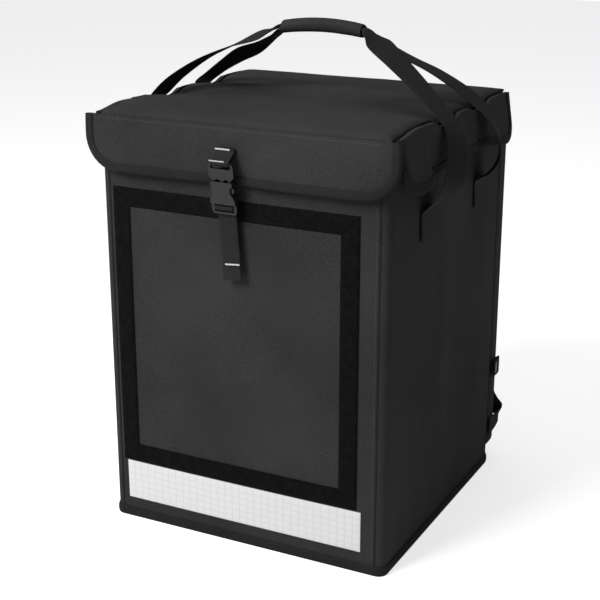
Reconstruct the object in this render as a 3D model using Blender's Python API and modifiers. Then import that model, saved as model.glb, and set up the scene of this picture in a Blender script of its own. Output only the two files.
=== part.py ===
"""Insulated delivery backpack: a padded box with a flap lid, a hand grip and shoulder straps.

The bag stands on the floor by itself. Sizes are metres. X runs across the front from left to
right, the front looks along -Y, Z is up, and the origin is the middle of the base.
"""

import math
from collections import namedtuple

import bmesh
import bpy
from mathutils import Matrix, Vector

# Clearance between pieces that touch on the real bag
GAP = 0.0003
MERGE = 0.00001

# Padded box
BODY_WIDTH = 0.400
BODY_DEPTH = 0.390
BODY_HEIGHT = 0.5445
WALL = 0.010
CORNER_RADIUS = 0.012
FRONT_BULGE = 0.0025
SIDE_BULGE = 0.0045
BASE_TAPE_HEIGHT = 0.013
BASE_TAPE_THICKNESS = 0.0015

# Lid: a padded panel with a front flap, two side flaps and a cloth hinge
LID_THICKNESS = 0.011
LID_CROWN = 0.005
LID_PUFF = 0.006
LID_DENT = 0.0045
SEAM_STEP = 0.0013
FLAP_THICKNESS = 0.006
BINDING_WIDTH = 0.012
BINDING_THICKNESS = 0.0012
FRONT_FLAP_WIDTH = 0.4308
FRONT_FLAP_DROP = 0.070
FRONT_FLAP_RADIUS = 0.045
FRONT_FLAP_KICK = 0.0050
FRONT_FOLD_DEPTH = 0.005
SIDE_FLAP_LENGTH = 0.380
SIDE_FLAP_DROP = 0.066
SIDE_FLAP_RADIUS = 0.032
SIDE_FLAP_KICK = 0.004
SIDE_FOLD_DEPTH = 0.014
HINGE_WIDTH = 0.380
HINGE_HEIGHT = 0.023
HINGE_THICKNESS = 0.0012

# Front panel: a frame of loop tape and a reflective strip
PANEL_CENTRE_X = -0.010
TAPE_FRAME_WIDTH = 0.345
TAPE_FRAME_HEIGHT = 0.378
TAPE_FRAME_BOTTOM = 0.0855
LOOP_TAPE_WIDTH = 0.025
LOOP_TAPE_THICKNESS = 0.0018
STRIP_WIDTH = 0.3455
STRIP_HEIGHT = 0.055
STRIP_BOTTOM = 0.0288
STRIP_CENTRE_X = -0.0045
STRIP_THICKNESS = 0.0008

# Closure: 25 mm webbing with a side-release buckle
CLOSURE_WEB = 0.025
CLOSURE_WEB_THICKNESS = 0.0015
TAB_LENGTH = 0.0174
TAB_SEWN = 0.006
BUCKLE_DROP = 0.0409
BUCKLE_STAND = 0.0241
BUCKLE_TILT = math.radians(9.0)
BUCKLE_LENGTH = 0.066
BUCKLE_WIDTH = 0.034
MALE_THICKNESS = 0.0046
FEMALE_THICKNESS = 0.0095
CAVITY_WIDTH = 0.0264
CAVITY_THICKNESS = 0.0056
CAVITY_END = 0.0465
LEDGE = 0.0526
BAR = 0.0028
SLOT = 0.0036
TAB_SLOT = 0.0055
TAIL_LENGTH = 0.082
TAIL_LEAN = math.radians(5.0)
TAIL_STAND = 0.010
ANCHOR_DROP = 0.1086
ANCHOR_SEWN = 0.022

# Two webbing straps over the lid, held together by a grip
HANDLE_WEB = 0.040
HANDLE_WEB_THICKNESS = 0.0018
HANDLE_SEWN_BOTTOM = 0.4156
HANDLE_SEWN_LENGTH = 0.034
HANDLE_BULGE = 0.028
HANDLE_SPREAD = 0.0015
GRIP_LENGTH = 0.116
GRIP_WIDTH = 0.024
GRIP_THICKNESS = 0.019
GRIP_CENTRE = Vector((0.014, 0.0075, 0.648))
GRIP_ARCH = 0.0055
GRIP_SLOT_WIDTH = 0.0190
GRIP_SLOT_THICKNESS = 0.0106
FOLDED_WEB = 0.0160
FOLDED_WEB_THICKNESS = 0.0042

# Back: a thick pad and two shoulder straps
PAD_WIDTH = 0.398
PAD_BOTTOM = 0.018
PAD_THICKNESS = 0.041
PAD_RADIUS = 0.012
PAD_CHANNEL_DEPTH = 0.007
SHOULDER_WIDTH = 0.062
SHOULDER_THICKNESS = 0.012
SHOULDER_TOP = 0.505
SHOULDER_TOP_X = 0.072
SHOULDER_BOTTOM = 0.205
SHOULDER_BOTTOM_X = 0.118
SHOULDER_STAND = 0.048
SHOULDER_WEB = 0.025
SHOULDER_WEB_THICKNESS = 0.0015
ADJUSTER_WIDTH = 0.034
ADJUSTER_LENGTH = 0.026
ADJUSTER_THICKNESS = 0.004
ADJUSTER_FOOT = -0.013
SHOULDER_TAIL = 0.090
LOWER_ANCHOR_Z = 0.054
UPPER_ANCHOR_Z = 0.146
ANCHOR_REACH = 0.022

# Outlines of the buckle's halves, from the middle of the top edge round the right side. across is
# a share of half BUCKLE_WIDTH and down a share of BUCKLE_LENGTH.
Corner = namedtuple("Corner", "across down")
MALE_CORNERS = (
    Corner(0.76, 0.000),
    Corner(1.00, 0.060),
    Corner(1.00, 0.270),
    Corner(0.85, 0.318),
    Corner(0.76, 0.330),
    Corner(0.76, 0.462),
    Corner(0.94, 0.485),
    Corner(0.95, 0.553),
    Corner(0.76, 0.606),
    Corner(0.73, 0.644),
    Corner(0.61, 0.644),
    Corner(0.55, 0.545),
    Corner(0.53, 0.348),
    Corner(0.43, 0.326),
    Corner(0.25, 0.326),
    Corner(0.15, 0.348),
    Corner(0.15, 0.652),
)
FEMALE_CORNERS = (
    Corner(0.78, 0.364),
    Corner(0.88, 0.386),
    Corner(0.88, 0.424),
    Corner(0.68, 0.485),
    Corner(0.68, 0.576),
    Corner(0.88, 0.652),
    Corner(1.00, 0.727),
    Corner(1.00, 0.947),
    Corner(0.85, 1.000),
)

# Folds of the front flap. along and out are shares of half its width and of FRONT_FOLD_DEPTH.
FrontFold = namedtuple("FrontFold", "along out")
FRONT_FOLDS = (
    FrontFold(-1.00, -0.50),
    FrontFold(-0.70, 0.35),
    FrontFold(-0.30, 0.30),
    FrontFold(-0.13, -0.60),
    FrontFold(-0.046, 0.05),
    FrontFold(0.04, -0.60),
    FrontFold(0.25, 0.35),
    FrontFold(0.70, 0.40),
    FrontFold(1.00, -0.50),
)

# Swell of a side flap and of the lid's side seam. along is a share of half the bag's depth,
# out of SIDE_FOLD_DEPTH, lift of SIDE_FLAP_DROP and puff of LID_PUFF.
SideFold = namedtuple("SideFold", "along out lift puff")
SIDE_FOLDS = (
    SideFold(-1.00, 0.75, 0.00, 0.20),
    SideFold(-0.72, 1.00, 0.00, 1.00),
    SideFold(-0.45, 0.70, 0.10, 0.70),
    SideFold(0.12, 0.85, 0.22, 0.35),
    SideFold(0.42, 0.30, 0.16, 0.20),
    SideFold(0.78, 0.65, 0.02, 0.35),
    SideFold(1.00, 0.50, 0.00, 0.10),
)

# Soft waves of a side panel, as shares of half its depth and of SIDE_BULGE
SideWave = namedtuple("SideWave", "along out")
SIDE_WAVES = (
    SideWave(-1.00, 0.00),
    SideWave(-0.55, 0.45),
    SideWave(-0.11, 1.00),
    SideWave(0.25, 0.50),
    SideWave(0.62, 0.85),
    SideWave(1.00, 0.00),
)

# The two handle straps: where each crosses the lid's side seam and where it is sewn down, as
# shares of the bag's depth, and where it presses the side flap, with half of the pressed length
# as a share of the webbing. layer is its place in the grip, above or below the middle.
Handle = namedtuple("Handle", "name seam sewn press press_half layer")
HANDLES = (
    Handle("handle_strap_front", -0.106, -0.224, -0.175, 0.80, 1),
    Handle("handle_strap_rear", 0.199, 0.250, 0.218, 0.62, -1),
)

# The four legs from the seam to the grip. bow is the lift at mid-leg as a share of the grip's
# height over the lid, and the turns are degrees about the strap, positive with the front edge low.
Leg = namedtuple("Leg", "strap side bow turn_seam turn_middle turn_grip")
LEGS = (
    Leg("handle_strap_front", 1, 0.03, 4, 14, 20),
    Leg("handle_strap_front", -1, 0.14, -6, 4, 18),
    Leg("handle_strap_rear", 1, 0.08, 0, -6, 0),
    Leg("handle_strap_rear", -1, 0.03, -9, -24, -4),
)

# A strap beside the bag, from its sewn end up to the seam. climb is a share of the height between
# them, out of HANDLE_BULGE, lean of the way from sewn to seam, and turn is in degrees.
Hang = namedtuple("Hang", "climb out lean turn")
HANGS = (
    Hang(0.06, 0.16, 0.02, 0),
    Hang(0.18, 0.62, 0.10, 10),
    Hang(0.36, 0.96, 0.28, 20),
    Hang(0.58, 1.00, 0.52, 20),
    Hang(0.78, 0.78, 0.76, 12),
    Hang(0.93, 0.46, 0.93, 3),
)

# A shoulder strap from its sewn top to the adjuster. down and across are shares of the way
# between the two ends, stand is a share of SHOULDER_STAND.
Bow = namedtuple("Bow", "down across stand")
SHOULDER_BOWS = (
    Bow(0.00, 0.00, 0.00),
    Bow(0.12, 0.04, 0.12),
    Bow(0.30, 0.16, 0.72),
    Bow(0.55, 0.42, 1.00),
    Bow(0.80, 0.74, 0.86),
    Bow(1.00, 1.00, 0.58),
)

HALF_WIDTH = BODY_WIDTH / 2
BOW_PEAK = 6.75
HALF_DEPTH = BODY_DEPTH / 2
LID_UNDER = BODY_HEIGHT + GAP
LID_TOP = LID_UNDER + LID_THICKNESS
SEAM_TOP = LID_TOP - SEAM_STEP
FLAP_FACE = 2 * GAP + BINDING_THICKNESS + FLAP_THICKNESS
BUCKLE_BAR_HEIGHT = SEAM_TOP - BUCKLE_DROP
TAB_TOP = BUCKLE_BAR_HEIGHT + TAB_LENGTH
ANCHOR_BOTTOM = BUCKLE_BAR_HEIGHT - ANCHOR_DROP
PAD_TOP = BODY_HEIGHT - HINGE_HEIGHT / 2 - GAP
PAD_FACE = HALF_DEPTH + GAP + PAD_THICKNESS

COLOURS = {
    "cloth": (0.045, 0.046, 0.049, 1.0),
    "tape": (0.026, 0.026, 0.028, 1.0),
    "loop": (0.012, 0.012, 0.013, 1.0),
    "reflective": (0.80, 0.80, 0.79, 1.0),
    "webbing": (0.022, 0.022, 0.024, 1.0),
    "plastic": (0.016, 0.016, 0.018, 1.0),
    "mesh": (0.018, 0.018, 0.020, 1.0),
}
ROUGHNESS = {
    "cloth": 0.85,
    "tape": 0.80,
    "loop": 1.0,
    "reflective": 0.35,
    "webbing": 0.70,
    "plastic": 0.42,
    "mesh": 0.9,
}


def smooth(share):
    """A step from 0 to 1 with level ends."""
    share = min(1.0, max(0.0, share))
    return share * share * (3 - 2 * share)


def read_rows(rows, along, column):
    """The value of a column at a place between the rows, eased from row to row."""
    if along <= rows[0].along:
        return getattr(rows[0], column)
    for low, high in zip(rows, rows[1:]):
        if along <= high.along:
            step = smooth((along - low.along) / (high.along - low.along))
            return getattr(low, column) + (getattr(high, column) - getattr(low, column)) * step
    return getattr(rows[-1], column)


def plateau(distance, half, fade):
    """1 within half of a place, easing to 0 over fade."""
    return 1 - smooth((abs(distance) - half) / fade)


def front_face(x, z):
    """How far the front panel stands in front of the middle of the bag."""
    return HALF_DEPTH + FRONT_BULGE * (1 - (x / HALF_WIDTH) ** 2) * math.sin(math.pi * z / BODY_HEIGHT)


def side_face(y, z):
    """How far a side panel stands beside the middle of the bag."""
    wave = read_rows(SIDE_WAVES, y / HALF_DEPTH, "out")
    return HALF_WIDTH + SIDE_BULGE * wave * math.sin(math.pi * z / BODY_HEIGHT)


def seam_press(y):
    """1 where a handle strap presses the lid's side seam down."""
    half = 0.55 * HANDLE_WEB
    return max(plateau(y - strap.seam * BODY_DEPTH, half, 0.6 * HANDLE_WEB) for strap in HANDLES)


def flap_press(y):
    """1 where a handle strap holds a side flap against the bag."""
    return max(
        plateau(y - strap.press * BODY_DEPTH, strap.press_half * HANDLE_WEB, 0.5 * HANDLE_WEB) for strap in HANDLES
    )


def lid_wave(y):
    """The rise and fall of the lid's side seam."""
    press = seam_press(y)
    return LID_PUFF * read_rows(SIDE_FOLDS, y / HALF_DEPTH, "puff") * (1 - press) - LID_DENT * press


def lid_top(x, y):
    """The height of the lid's upper face."""
    across, along = abs(x) / HALF_WIDTH, abs(y) / HALF_DEPTH
    crown = LID_CROWN * (1 - across**4) * (1 - along**4)
    return LID_TOP + crown + lid_wave(y) * smooth((across - 0.45) / 0.55) * (1 - along**8)


def front_flap_face(x, z):
    """The front flap's outer face, as a distance in front of the middle of the bag."""
    drop = (SEAM_TOP - z) / FRONT_FLAP_DROP
    fold = read_rows(FRONT_FOLDS, x / (FRONT_FLAP_WIDTH / 2), "out")
    return HALF_DEPTH + FLAP_FACE + FRONT_FLAP_KICK * drop + FRONT_FOLD_DEPTH * fold * drop


def side_flap_face(y, z):
    """A side flap's outer face, as a distance beside the middle of the bag."""
    drop = max(0.0, (SEAM_TOP - z) / SIDE_FLAP_DROP)
    swell = read_rows(SIDE_FOLDS, y / HALF_DEPTH, "out") * (1 - flap_press(y))
    return HALF_WIDTH + FLAP_FACE + SIDE_FLAP_KICK * drop + SIDE_FOLD_DEPTH * swell * drop**1.2


def side_seam(y):
    """The height of a side flap's upper edge."""
    return SEAM_TOP + lid_wave(y) * (1 - (abs(y) / HALF_DEPTH) ** 8)


def side_hem(y):
    """How far folds lift a side flap's hem."""
    return SIDE_FLAP_DROP * read_rows(SIDE_FOLDS, y / HALF_DEPTH, "lift")


def give_material(item, finish):
    """One Principled material for each object."""
    material = bpy.data.materials.new(item.name)
    material.use_nodes = True
    shader = material.node_tree.nodes["Principled BSDF"]
    shader.inputs["Base Color"].default_value = COLOURS[finish]
    shader.inputs["Roughness"].default_value = ROUGHNESS[finish]
    item.data.materials.clear()
    item.data.materials.append(material)


def add_part(name, mesh, finish):
    """Puts a mesh into the bag's collection."""
    item = bpy.data.objects.new(name, mesh)
    parts.objects.link(item)
    give_material(item, finish)
    return item


def solidify(item, thickness):
    """A wall on the inner side of an outer face."""
    wall = item.modifiers.new("wall", "SOLIDIFY")
    wall.thickness = thickness
    wall.offset = -1
    wall.use_even_offset = True


def bevel_marked(bm, item, width):
    """Rounds the edges that carry a bevel weight."""
    bm.to_mesh(item.data)
    bm.free()
    rounding = item.modifiers.new("rounding", "BEVEL")
    rounding.width = width
    rounding.segments = 3
    rounding.limit_method = "WEIGHT"


def sheet(name, columns, rows, place, thickness, finish):
    """A sheet with one face at place(column, row) and its thickness behind that face."""
    bm = bmesh.new()
    bmesh.ops.create_grid(bm, x_segments=columns, y_segments=rows, size=1)
    for corner in bm.verts:
        column = round((corner.co.x + 1) / 2 * columns)
        row = round((corner.co.y + 1) / 2 * rows)
        corner.co = place(column, row)
    mesh = bpy.data.meshes.new(name)
    bm.to_mesh(mesh)
    bm.free()
    item = add_part(name, mesh, finish)
    solidify(item, thickness)
    return item


def loft(name, rings, finish, closed=False):
    """A solid through rings of equal length, with flat ends unless it closes on itself."""
    bm = bmesh.new()
    loops = [[bm.verts.new(point) for point in ring] for ring in rings]
    pairs = list(zip(loops, loops[1:]))
    if closed:
        pairs.append((loops[-1], loops[0]))
    for low, high in pairs:
        for here in range(len(low)):
            there = (here + 1) % len(low)
            bm.faces.new((low[here], low[there], high[there], high[here]))
    if not closed:
        bm.faces.new(loops[0])
        bm.faces.new(loops[-1])
    bmesh.ops.recalc_face_normals(bm, faces=bm.faces)
    mesh = bpy.data.meshes.new(name)
    bm.to_mesh(mesh)
    bm.free()
    return add_part(name, mesh, finish)


def rounded_outline(width, height, radius, steps):
    """A rectangle about the origin with round corners, run anticlockwise."""
    points = []
    for turn, (side, up) in enumerate(((1, -1), (1, 1), (-1, 1), (-1, -1))):
        middle = Vector((side * (width / 2 - radius), up * (height / 2 - radius)))
        for step in range(steps + 1):
            angle = math.radians(90 * (turn - 1 + step / steps))
            points.append(middle + radius * Vector((math.cos(angle), math.sin(angle))))
    return points


def plate_mesh(name, outlines, thickness):
    """A flat plate about z = 0, with any later outlines cut through it, made from a 2D curve."""
    curve = bpy.data.curves.new(name, "CURVE")
    curve.dimensions = "2D"
    curve.fill_mode = "BOTH"
    curve.extrude = thickness / 2
    for outline in outlines:
        spline = curve.splines.new("POLY")
        spline.points.add(len(outline) - 1)
        for point, place in zip(spline.points, outline):
            point.co = (place[0], place[1], 0, 1)
        spline.use_cyclic_u = True
    guide = bpy.data.objects.new(name, curve)
    bpy.context.scene.collection.objects.link(guide)
    bpy.context.view_layer.update()
    mesh = bpy.data.meshes.new_from_object(guide.evaluated_get(bpy.context.evaluated_depsgraph_get()))
    mesh.name = name
    bpy.data.objects.remove(guide)
    bm = bmesh.new()
    bm.from_mesh(mesh)
    bmesh.ops.remove_doubles(bm, verts=bm.verts, dist=MERGE)
    bmesh.ops.recalc_face_normals(bm, faces=bm.faces)
    bm.to_mesh(mesh)
    bm.free()
    return mesh


def cutter_box(name, low, high, parent):
    """A box that cuts another piece."""
    bm = bmesh.new()
    bmesh.ops.create_cube(bm, size=1)
    for corner in bm.verts:
        corner.co = Vector(high[k] if corner.co[k] > 0 else low[k] for k in range(3))
    mesh = bpy.data.meshes.new(name)
    bm.to_mesh(mesh)
    bm.free()
    item = bpy.data.objects.new(name, mesh)
    cutters.objects.link(item)
    item.hide_render = True
    item.display_type = "WIRE"
    item.parent = parent
    return item


def cut(item, cutter):
    """Takes a cutter's shape out of a piece."""
    boolean = item.modifiers.new(cutter.name, "BOOLEAN")
    boolean.operation = "DIFFERENCE"
    boolean.solver = "EXACT"
    boolean.object = cutter


# A point of a strap: its middle, its width direction, its turn about the strap, width and thickness
Station = namedtuple("Station", "place across turn width thickness")


def spline_value(before, low, high, after, step):
    """Catmull-Rom between low and high."""
    return 0.5 * (
        2 * low
        + (high - before) * step
        + (2 * before - 5 * low + 4 * high - after) * step**2
        + (3 * low - before - 3 * high + after) * step**3
    )


def smooth_route(stations, steps):
    """The same route with more stations, on one smooth curve."""
    route = []
    last = len(stations) - 1
    for index in range(last):
        four = [stations[min(last, max(0, index + k))] for k in (-1, 0, 1, 2)]
        for step in range(steps):
            share = step / steps
            place = spline_value(*(s.place for s in four), share)
            across = spline_value(*(s.across for s in four), share)
            turn = spline_value(*(s.turn for s in four), share)
            low, high = four[1], four[2]
            width = low.width + (high.width - low.width) * smooth(share)
            thickness = low.thickness + (high.thickness - low.thickness) * smooth(share)
            route.append(Station(place, across, turn, width, thickness))
    route.append(stations[-1])
    return route


def strap(name, stations, finish, chamfer=0.0):
    """A flat strap along a route, with chamfered long edges if chamfer is set."""
    rings = []
    last = len(stations) - 1
    for index, station in enumerate(stations):
        way = (stations[min(last, index + 1)].place - stations[max(0, index - 1)].place).normalized()
        across = (station.across - way * station.across.dot(way)).normalized()
        across = Matrix.Rotation(math.radians(station.turn), 3, way) @ across
        out = way.cross(across)
        half, deep = station.width / 2, station.thickness / 2
        corners = ((half, deep), (-half, deep), (-half, -deep), (half, -deep))
        if chamfer:
            near = min(chamfer, 0.9 * deep)
            corners = (
                (half, deep - near), (half - near, deep), (near - half, deep), (-half, deep - near),
                (-half, near - deep), (near - half, -deep), (half - near, -deep), (half, near - deep),
            )
        rings.append([station.place + across * a + out * b for a, b in corners])
    return loft(name, rings, finish)


def make_body():
    """The padded box, open at the top: an outer face with a wall inside it."""
    bm = bmesh.new()
    bmesh.ops.create_cube(bm, size=1)
    for corner in bm.verts:
        corner.co = (corner.co.x * BODY_WIDTH, corner.co.y * BODY_DEPTH, (corner.co.z + 0.5) * BODY_HEIGHT)
    lid_side = [face for face in bm.faces if face.normal.z > 0.5]
    bmesh.ops.delete(bm, geom=lid_side, context="FACES_ONLY")
    weight = bm.edges.layers.float.new("bevel_weight_edge")
    for edge in bm.edges:
        upright = abs(edge.verts[0].co.z - edge.verts[1].co.z) > WALL
        edge[weight] = 1.0 if upright else 0.0
    bmesh.ops.subdivide_edges(bm, edges=bm.edges, cuts=7, use_grid_fill=True)
    for corner in bm.verts:
        x, y, z = corner.co
        if abs(abs(y) - HALF_DEPTH) < MERGE and y < 0:
            corner.co.y = -front_face(x, z)
        if abs(abs(x) - HALF_WIDTH) < MERGE:
            corner.co.x = math.copysign(side_face(y, z), x)
    item = add_part("body_shell", bpy.data.meshes.new("body_shell"), "cloth")
    bevel_marked(bm, item, CORNER_RADIUS)
    solidify(item, WALL)


def make_base_binding():
    """A tape round the foot of the box."""
    grow = 2 * (GAP + SIDE_BULGE * 0.08)
    inner = rounded_outline(BODY_WIDTH + grow, BODY_DEPTH + grow, CORNER_RADIUS, 5)
    grow += 2 * BASE_TAPE_THICKNESS
    outer = rounded_outline(BODY_WIDTH + grow, BODY_DEPTH + grow, CORNER_RADIUS + BASE_TAPE_THICKNESS, 5)
    mesh = plate_mesh("base_binding", (outer, inner), BASE_TAPE_HEIGHT)
    item = add_part("base_binding", mesh, "tape")
    item.location.z = BASE_TAPE_HEIGHT / 2


def make_lid():
    """The padded panel that closes the box, crowned and pressed down where the straps cross."""
    steps = 20
    half = HALF_WIDTH + GAP

    def place(column, row):
        x = half * math.sin(math.pi / 2 * (2 * column / steps - 1))
        y = (HALF_DEPTH + GAP) * (2 * row / steps - 1)
        return Vector((x, y, lid_top(x, y)))

    bm = bmesh.new()
    bmesh.ops.create_grid(bm, x_segments=steps, y_segments=steps, size=1)
    for corner in bm.verts:
        corner.co = place(round((corner.co.x + 1) / 2 * steps), round((corner.co.y + 1) / 2 * steps))
    border = [edge for edge in bm.edges if edge.is_boundary]
    skirt = bmesh.ops.extrude_edge_only(bm, edges=border)["geom"]
    lower = [piece for piece in skirt if isinstance(piece, bmesh.types.BMVert)]
    for corner in lower:
        corner.co.z = LID_UNDER
    rim = [edge for edge in bm.edges if edge.is_boundary]
    bmesh.ops.contextual_create(bm, geom=rim)
    bmesh.ops.recalc_face_normals(bm, faces=bm.faces)
    mesh = bpy.data.meshes.new("lid_panel")
    bm.to_mesh(mesh)
    bm.free()
    add_part("lid_panel", mesh, "cloth")


def make_hinge():
    """The cloth strip that joins the lid to the back of the box."""
    bm = bmesh.new()
    bmesh.ops.create_cube(bm, size=1)
    mesh = bpy.data.meshes.new("lid_hinge")
    for corner in bm.verts:
        corner.co.x *= HINGE_WIDTH
        corner.co.y *= HINGE_THICKNESS
        corner.co.z *= HINGE_HEIGHT
    bm.to_mesh(mesh)
    bm.free()
    item = add_part("lid_hinge", mesh, "cloth")
    item.location = (0, HALF_DEPTH + 2 * GAP + HINGE_THICKNESS / 2, PAD_TOP + GAP + HINGE_HEIGHT / 2)


def flap_outline(half, hem, radius, inset, straight):
    """Columns of a flap with two round lower corners: place along it, height of the hem and the
    way out of the flap as an angle from straight down."""
    columns = []
    corner_steps = 5
    for step in range(corner_steps + 1):
        angle = math.radians(90 * (1 - step / corner_steps))
        columns.append((-(half - radius) - (radius - inset) * math.sin(angle),
                        hem + radius - (radius - inset) * math.cos(angle), -angle))
    for step in range(1, straight):
        columns.append(((half - radius) * (2 * step / straight - 1), hem + inset, 0.0))
    columns += [(-along, height, -angle) for along, height, angle in reversed(columns[:corner_steps + 1])]
    return columns


def make_flap(name, half, hem, radius, straight, seam, face, top, lift, world):
    """A padded flap and the tape that binds its free edges. face gives the outer face, top the
    upper edge, lift how far the hem is raised and seam the gap to the tape. world turns
    (along, out, height) into a place."""
    rows = 4
    inner = flap_outline(half, hem, radius, BINDING_WIDTH + seam, straight)

    def lifted(along, z):
        return z + lift(along) * (top(along) - z) / (top(along) - hem)

    def place(column, row):
        along, low, _ = inner[column]
        low = lifted(along, low)
        z = low + (top(along) - low) * row / rows
        return world(along, face(along, z), z)

    sheet(name, len(inner) - 1, rows, place, FLAP_THICKNESS, "cloth")

    path = flap_outline(half, hem, radius, BINDING_WIDTH / 2, straight)
    upper = [(along, top(along) - 0.0005, angle) for along, _, angle in (path[0], path[-1])]
    tall = BINDING_WIDTH / 2
    deep = FLAP_THICKNESS / 2 + BINDING_THICKNESS
    rings = []
    for along, low, angle in upper[:1] + path + upper[1:]:
        ring = []
        for side, way in ((-1, -1), (1, -1), (1, 1), (-1, 1)):
            a = along + side * tall * math.sin(angle)
            z = lifted(a, low - side * tall * math.cos(angle)) if low < top(along) - MERGE - 0.001 else low
            lean = (face(a + MERGE, z) - face(a - MERGE, z)) / (2 * MERGE)
            tilt = (face(a, z + MERGE) - face(a, z - MERGE)) / (2 * MERGE)
            normal = Vector((-lean, 1, -tilt)).normalized() * (way * deep - FLAP_THICKNESS / 2)
            ring.append(world(a + normal.x, face(a, z) + normal.y, z + normal.z))
        rings.append(ring)
    loft(name + "_binding", rings, "tape")


def make_flaps():
    """The front flap and the two side flaps."""
    make_flap(
        "front_flap", FRONT_FLAP_WIDTH / 2, SEAM_TOP - FRONT_FLAP_DROP, FRONT_FLAP_RADIUS, 22,
        2 * GAP, front_flap_face, lambda x: SEAM_TOP, lambda x: 0.0, lambda along, out, z: Vector((along, -out, z)),
    )
    for side, word in ((1, "right"), (-1, "left")):
        make_flap(
            "side_flap_" + word, SIDE_FLAP_LENGTH / 2, SEAM_TOP - SIDE_FLAP_DROP, SIDE_FLAP_RADIUS, 24, 4 * GAP,
            lambda along, z, s=side: side_flap_face(s * along, z),
            lambda along, s=side: side_seam(s * along),
            lambda along, s=side: side_hem(s * along),
            lambda along, out, z, s=side: Vector((s * out, s * along, z)),
        )


def make_front_panel():
    """The mitred frame of loop tape and the reflective strip, laid on the front panel."""
    half_width, half_height = TAPE_FRAME_WIDTH / 2, TAPE_FRAME_HEIGHT / 2
    middle = TAPE_FRAME_BOTTOM + half_height
    sides = (
        ("top", half_width, half_height, 0, 1), ("bottom", half_width, half_height, 0, -1),
        ("left", half_height, half_width, -1, 0), ("right", half_height, half_width, 1, 0),
    )
    steps = 6
    for word, half_length, reach, side, up in sides:
        def place(column, row, half_length=half_length, reach=reach, side=side, up=up):
            inset = LOOP_TAPE_WIDTH * row / 2
            along = (half_length - inset - GAP) * (2 * column / steps - 1)
            away = reach - inset
            x = PANEL_CENTRE_X + (side * away if side else up * -along)
            z = middle + (up * away if up else side * along)
            return Vector((x, -front_face(x, z) - GAP - LOOP_TAPE_THICKNESS, z))

        tape = sheet("loop_tape_" + word, steps, 2, place, LOOP_TAPE_THICKNESS, "loop")
        tape.data.flip_normals()

    def strip_place(column, row):
        x = STRIP_CENTRE_X + STRIP_WIDTH * (column / 8 - 0.5)
        z = STRIP_BOTTOM + STRIP_HEIGHT * row / 2
        return Vector((x, -front_face(x, z) - GAP - STRIP_THICKNESS, z))

    sheet("reflective_strip", 8, 2, strip_place, STRIP_THICKNESS, "reflective")


def wrapped(foot, deep, web):
    """Webbing that comes up behind a buckle, goes over its middle bar from the upper slot to the
    lower one and leaves between the foot and itself. y runs up the buckle, z is its front."""
    reach = 2 * GAP + web / 2
    layer = deep / 2 + reach
    bar = foot + 1.5 * BAR + SLOT
    loaded = -layer - web - 2 * GAP
    places = [Vector((0, up, loaded)) for up in (foot - 0.003, foot + BAR, foot + BAR + SLOT * 0.6)]
    for angle in (180, 150, 120, 90, 60, 30, 0, -30, -60):
        turn = math.radians(angle)
        up, out = math.sin(turn), math.cos(turn)
        up, out = (math.copysign(abs(part) ** 0.7, part) for part in (up, out))
        places.append(Vector((0, bar + (BAR / 2 + reach) * up, layer * out)))
    for angle in (0, 45, 90):
        turn = math.radians(angle)
        places.append(Vector((0, foot + BAR + reach * math.cos(turn), -deep / 2 - reach * math.sin(turn))))
    return places


def buckle_outline(corners):
    """A half of the buckle seen from its front, with its bar on y = 0."""
    right = [(row.across * BUCKLE_WIDTH / 2, BAR / 2 - row.down * BUCKLE_LENGTH) for row in corners]
    return right[::-1] + [(-x, y) for x, y in right]


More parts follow.
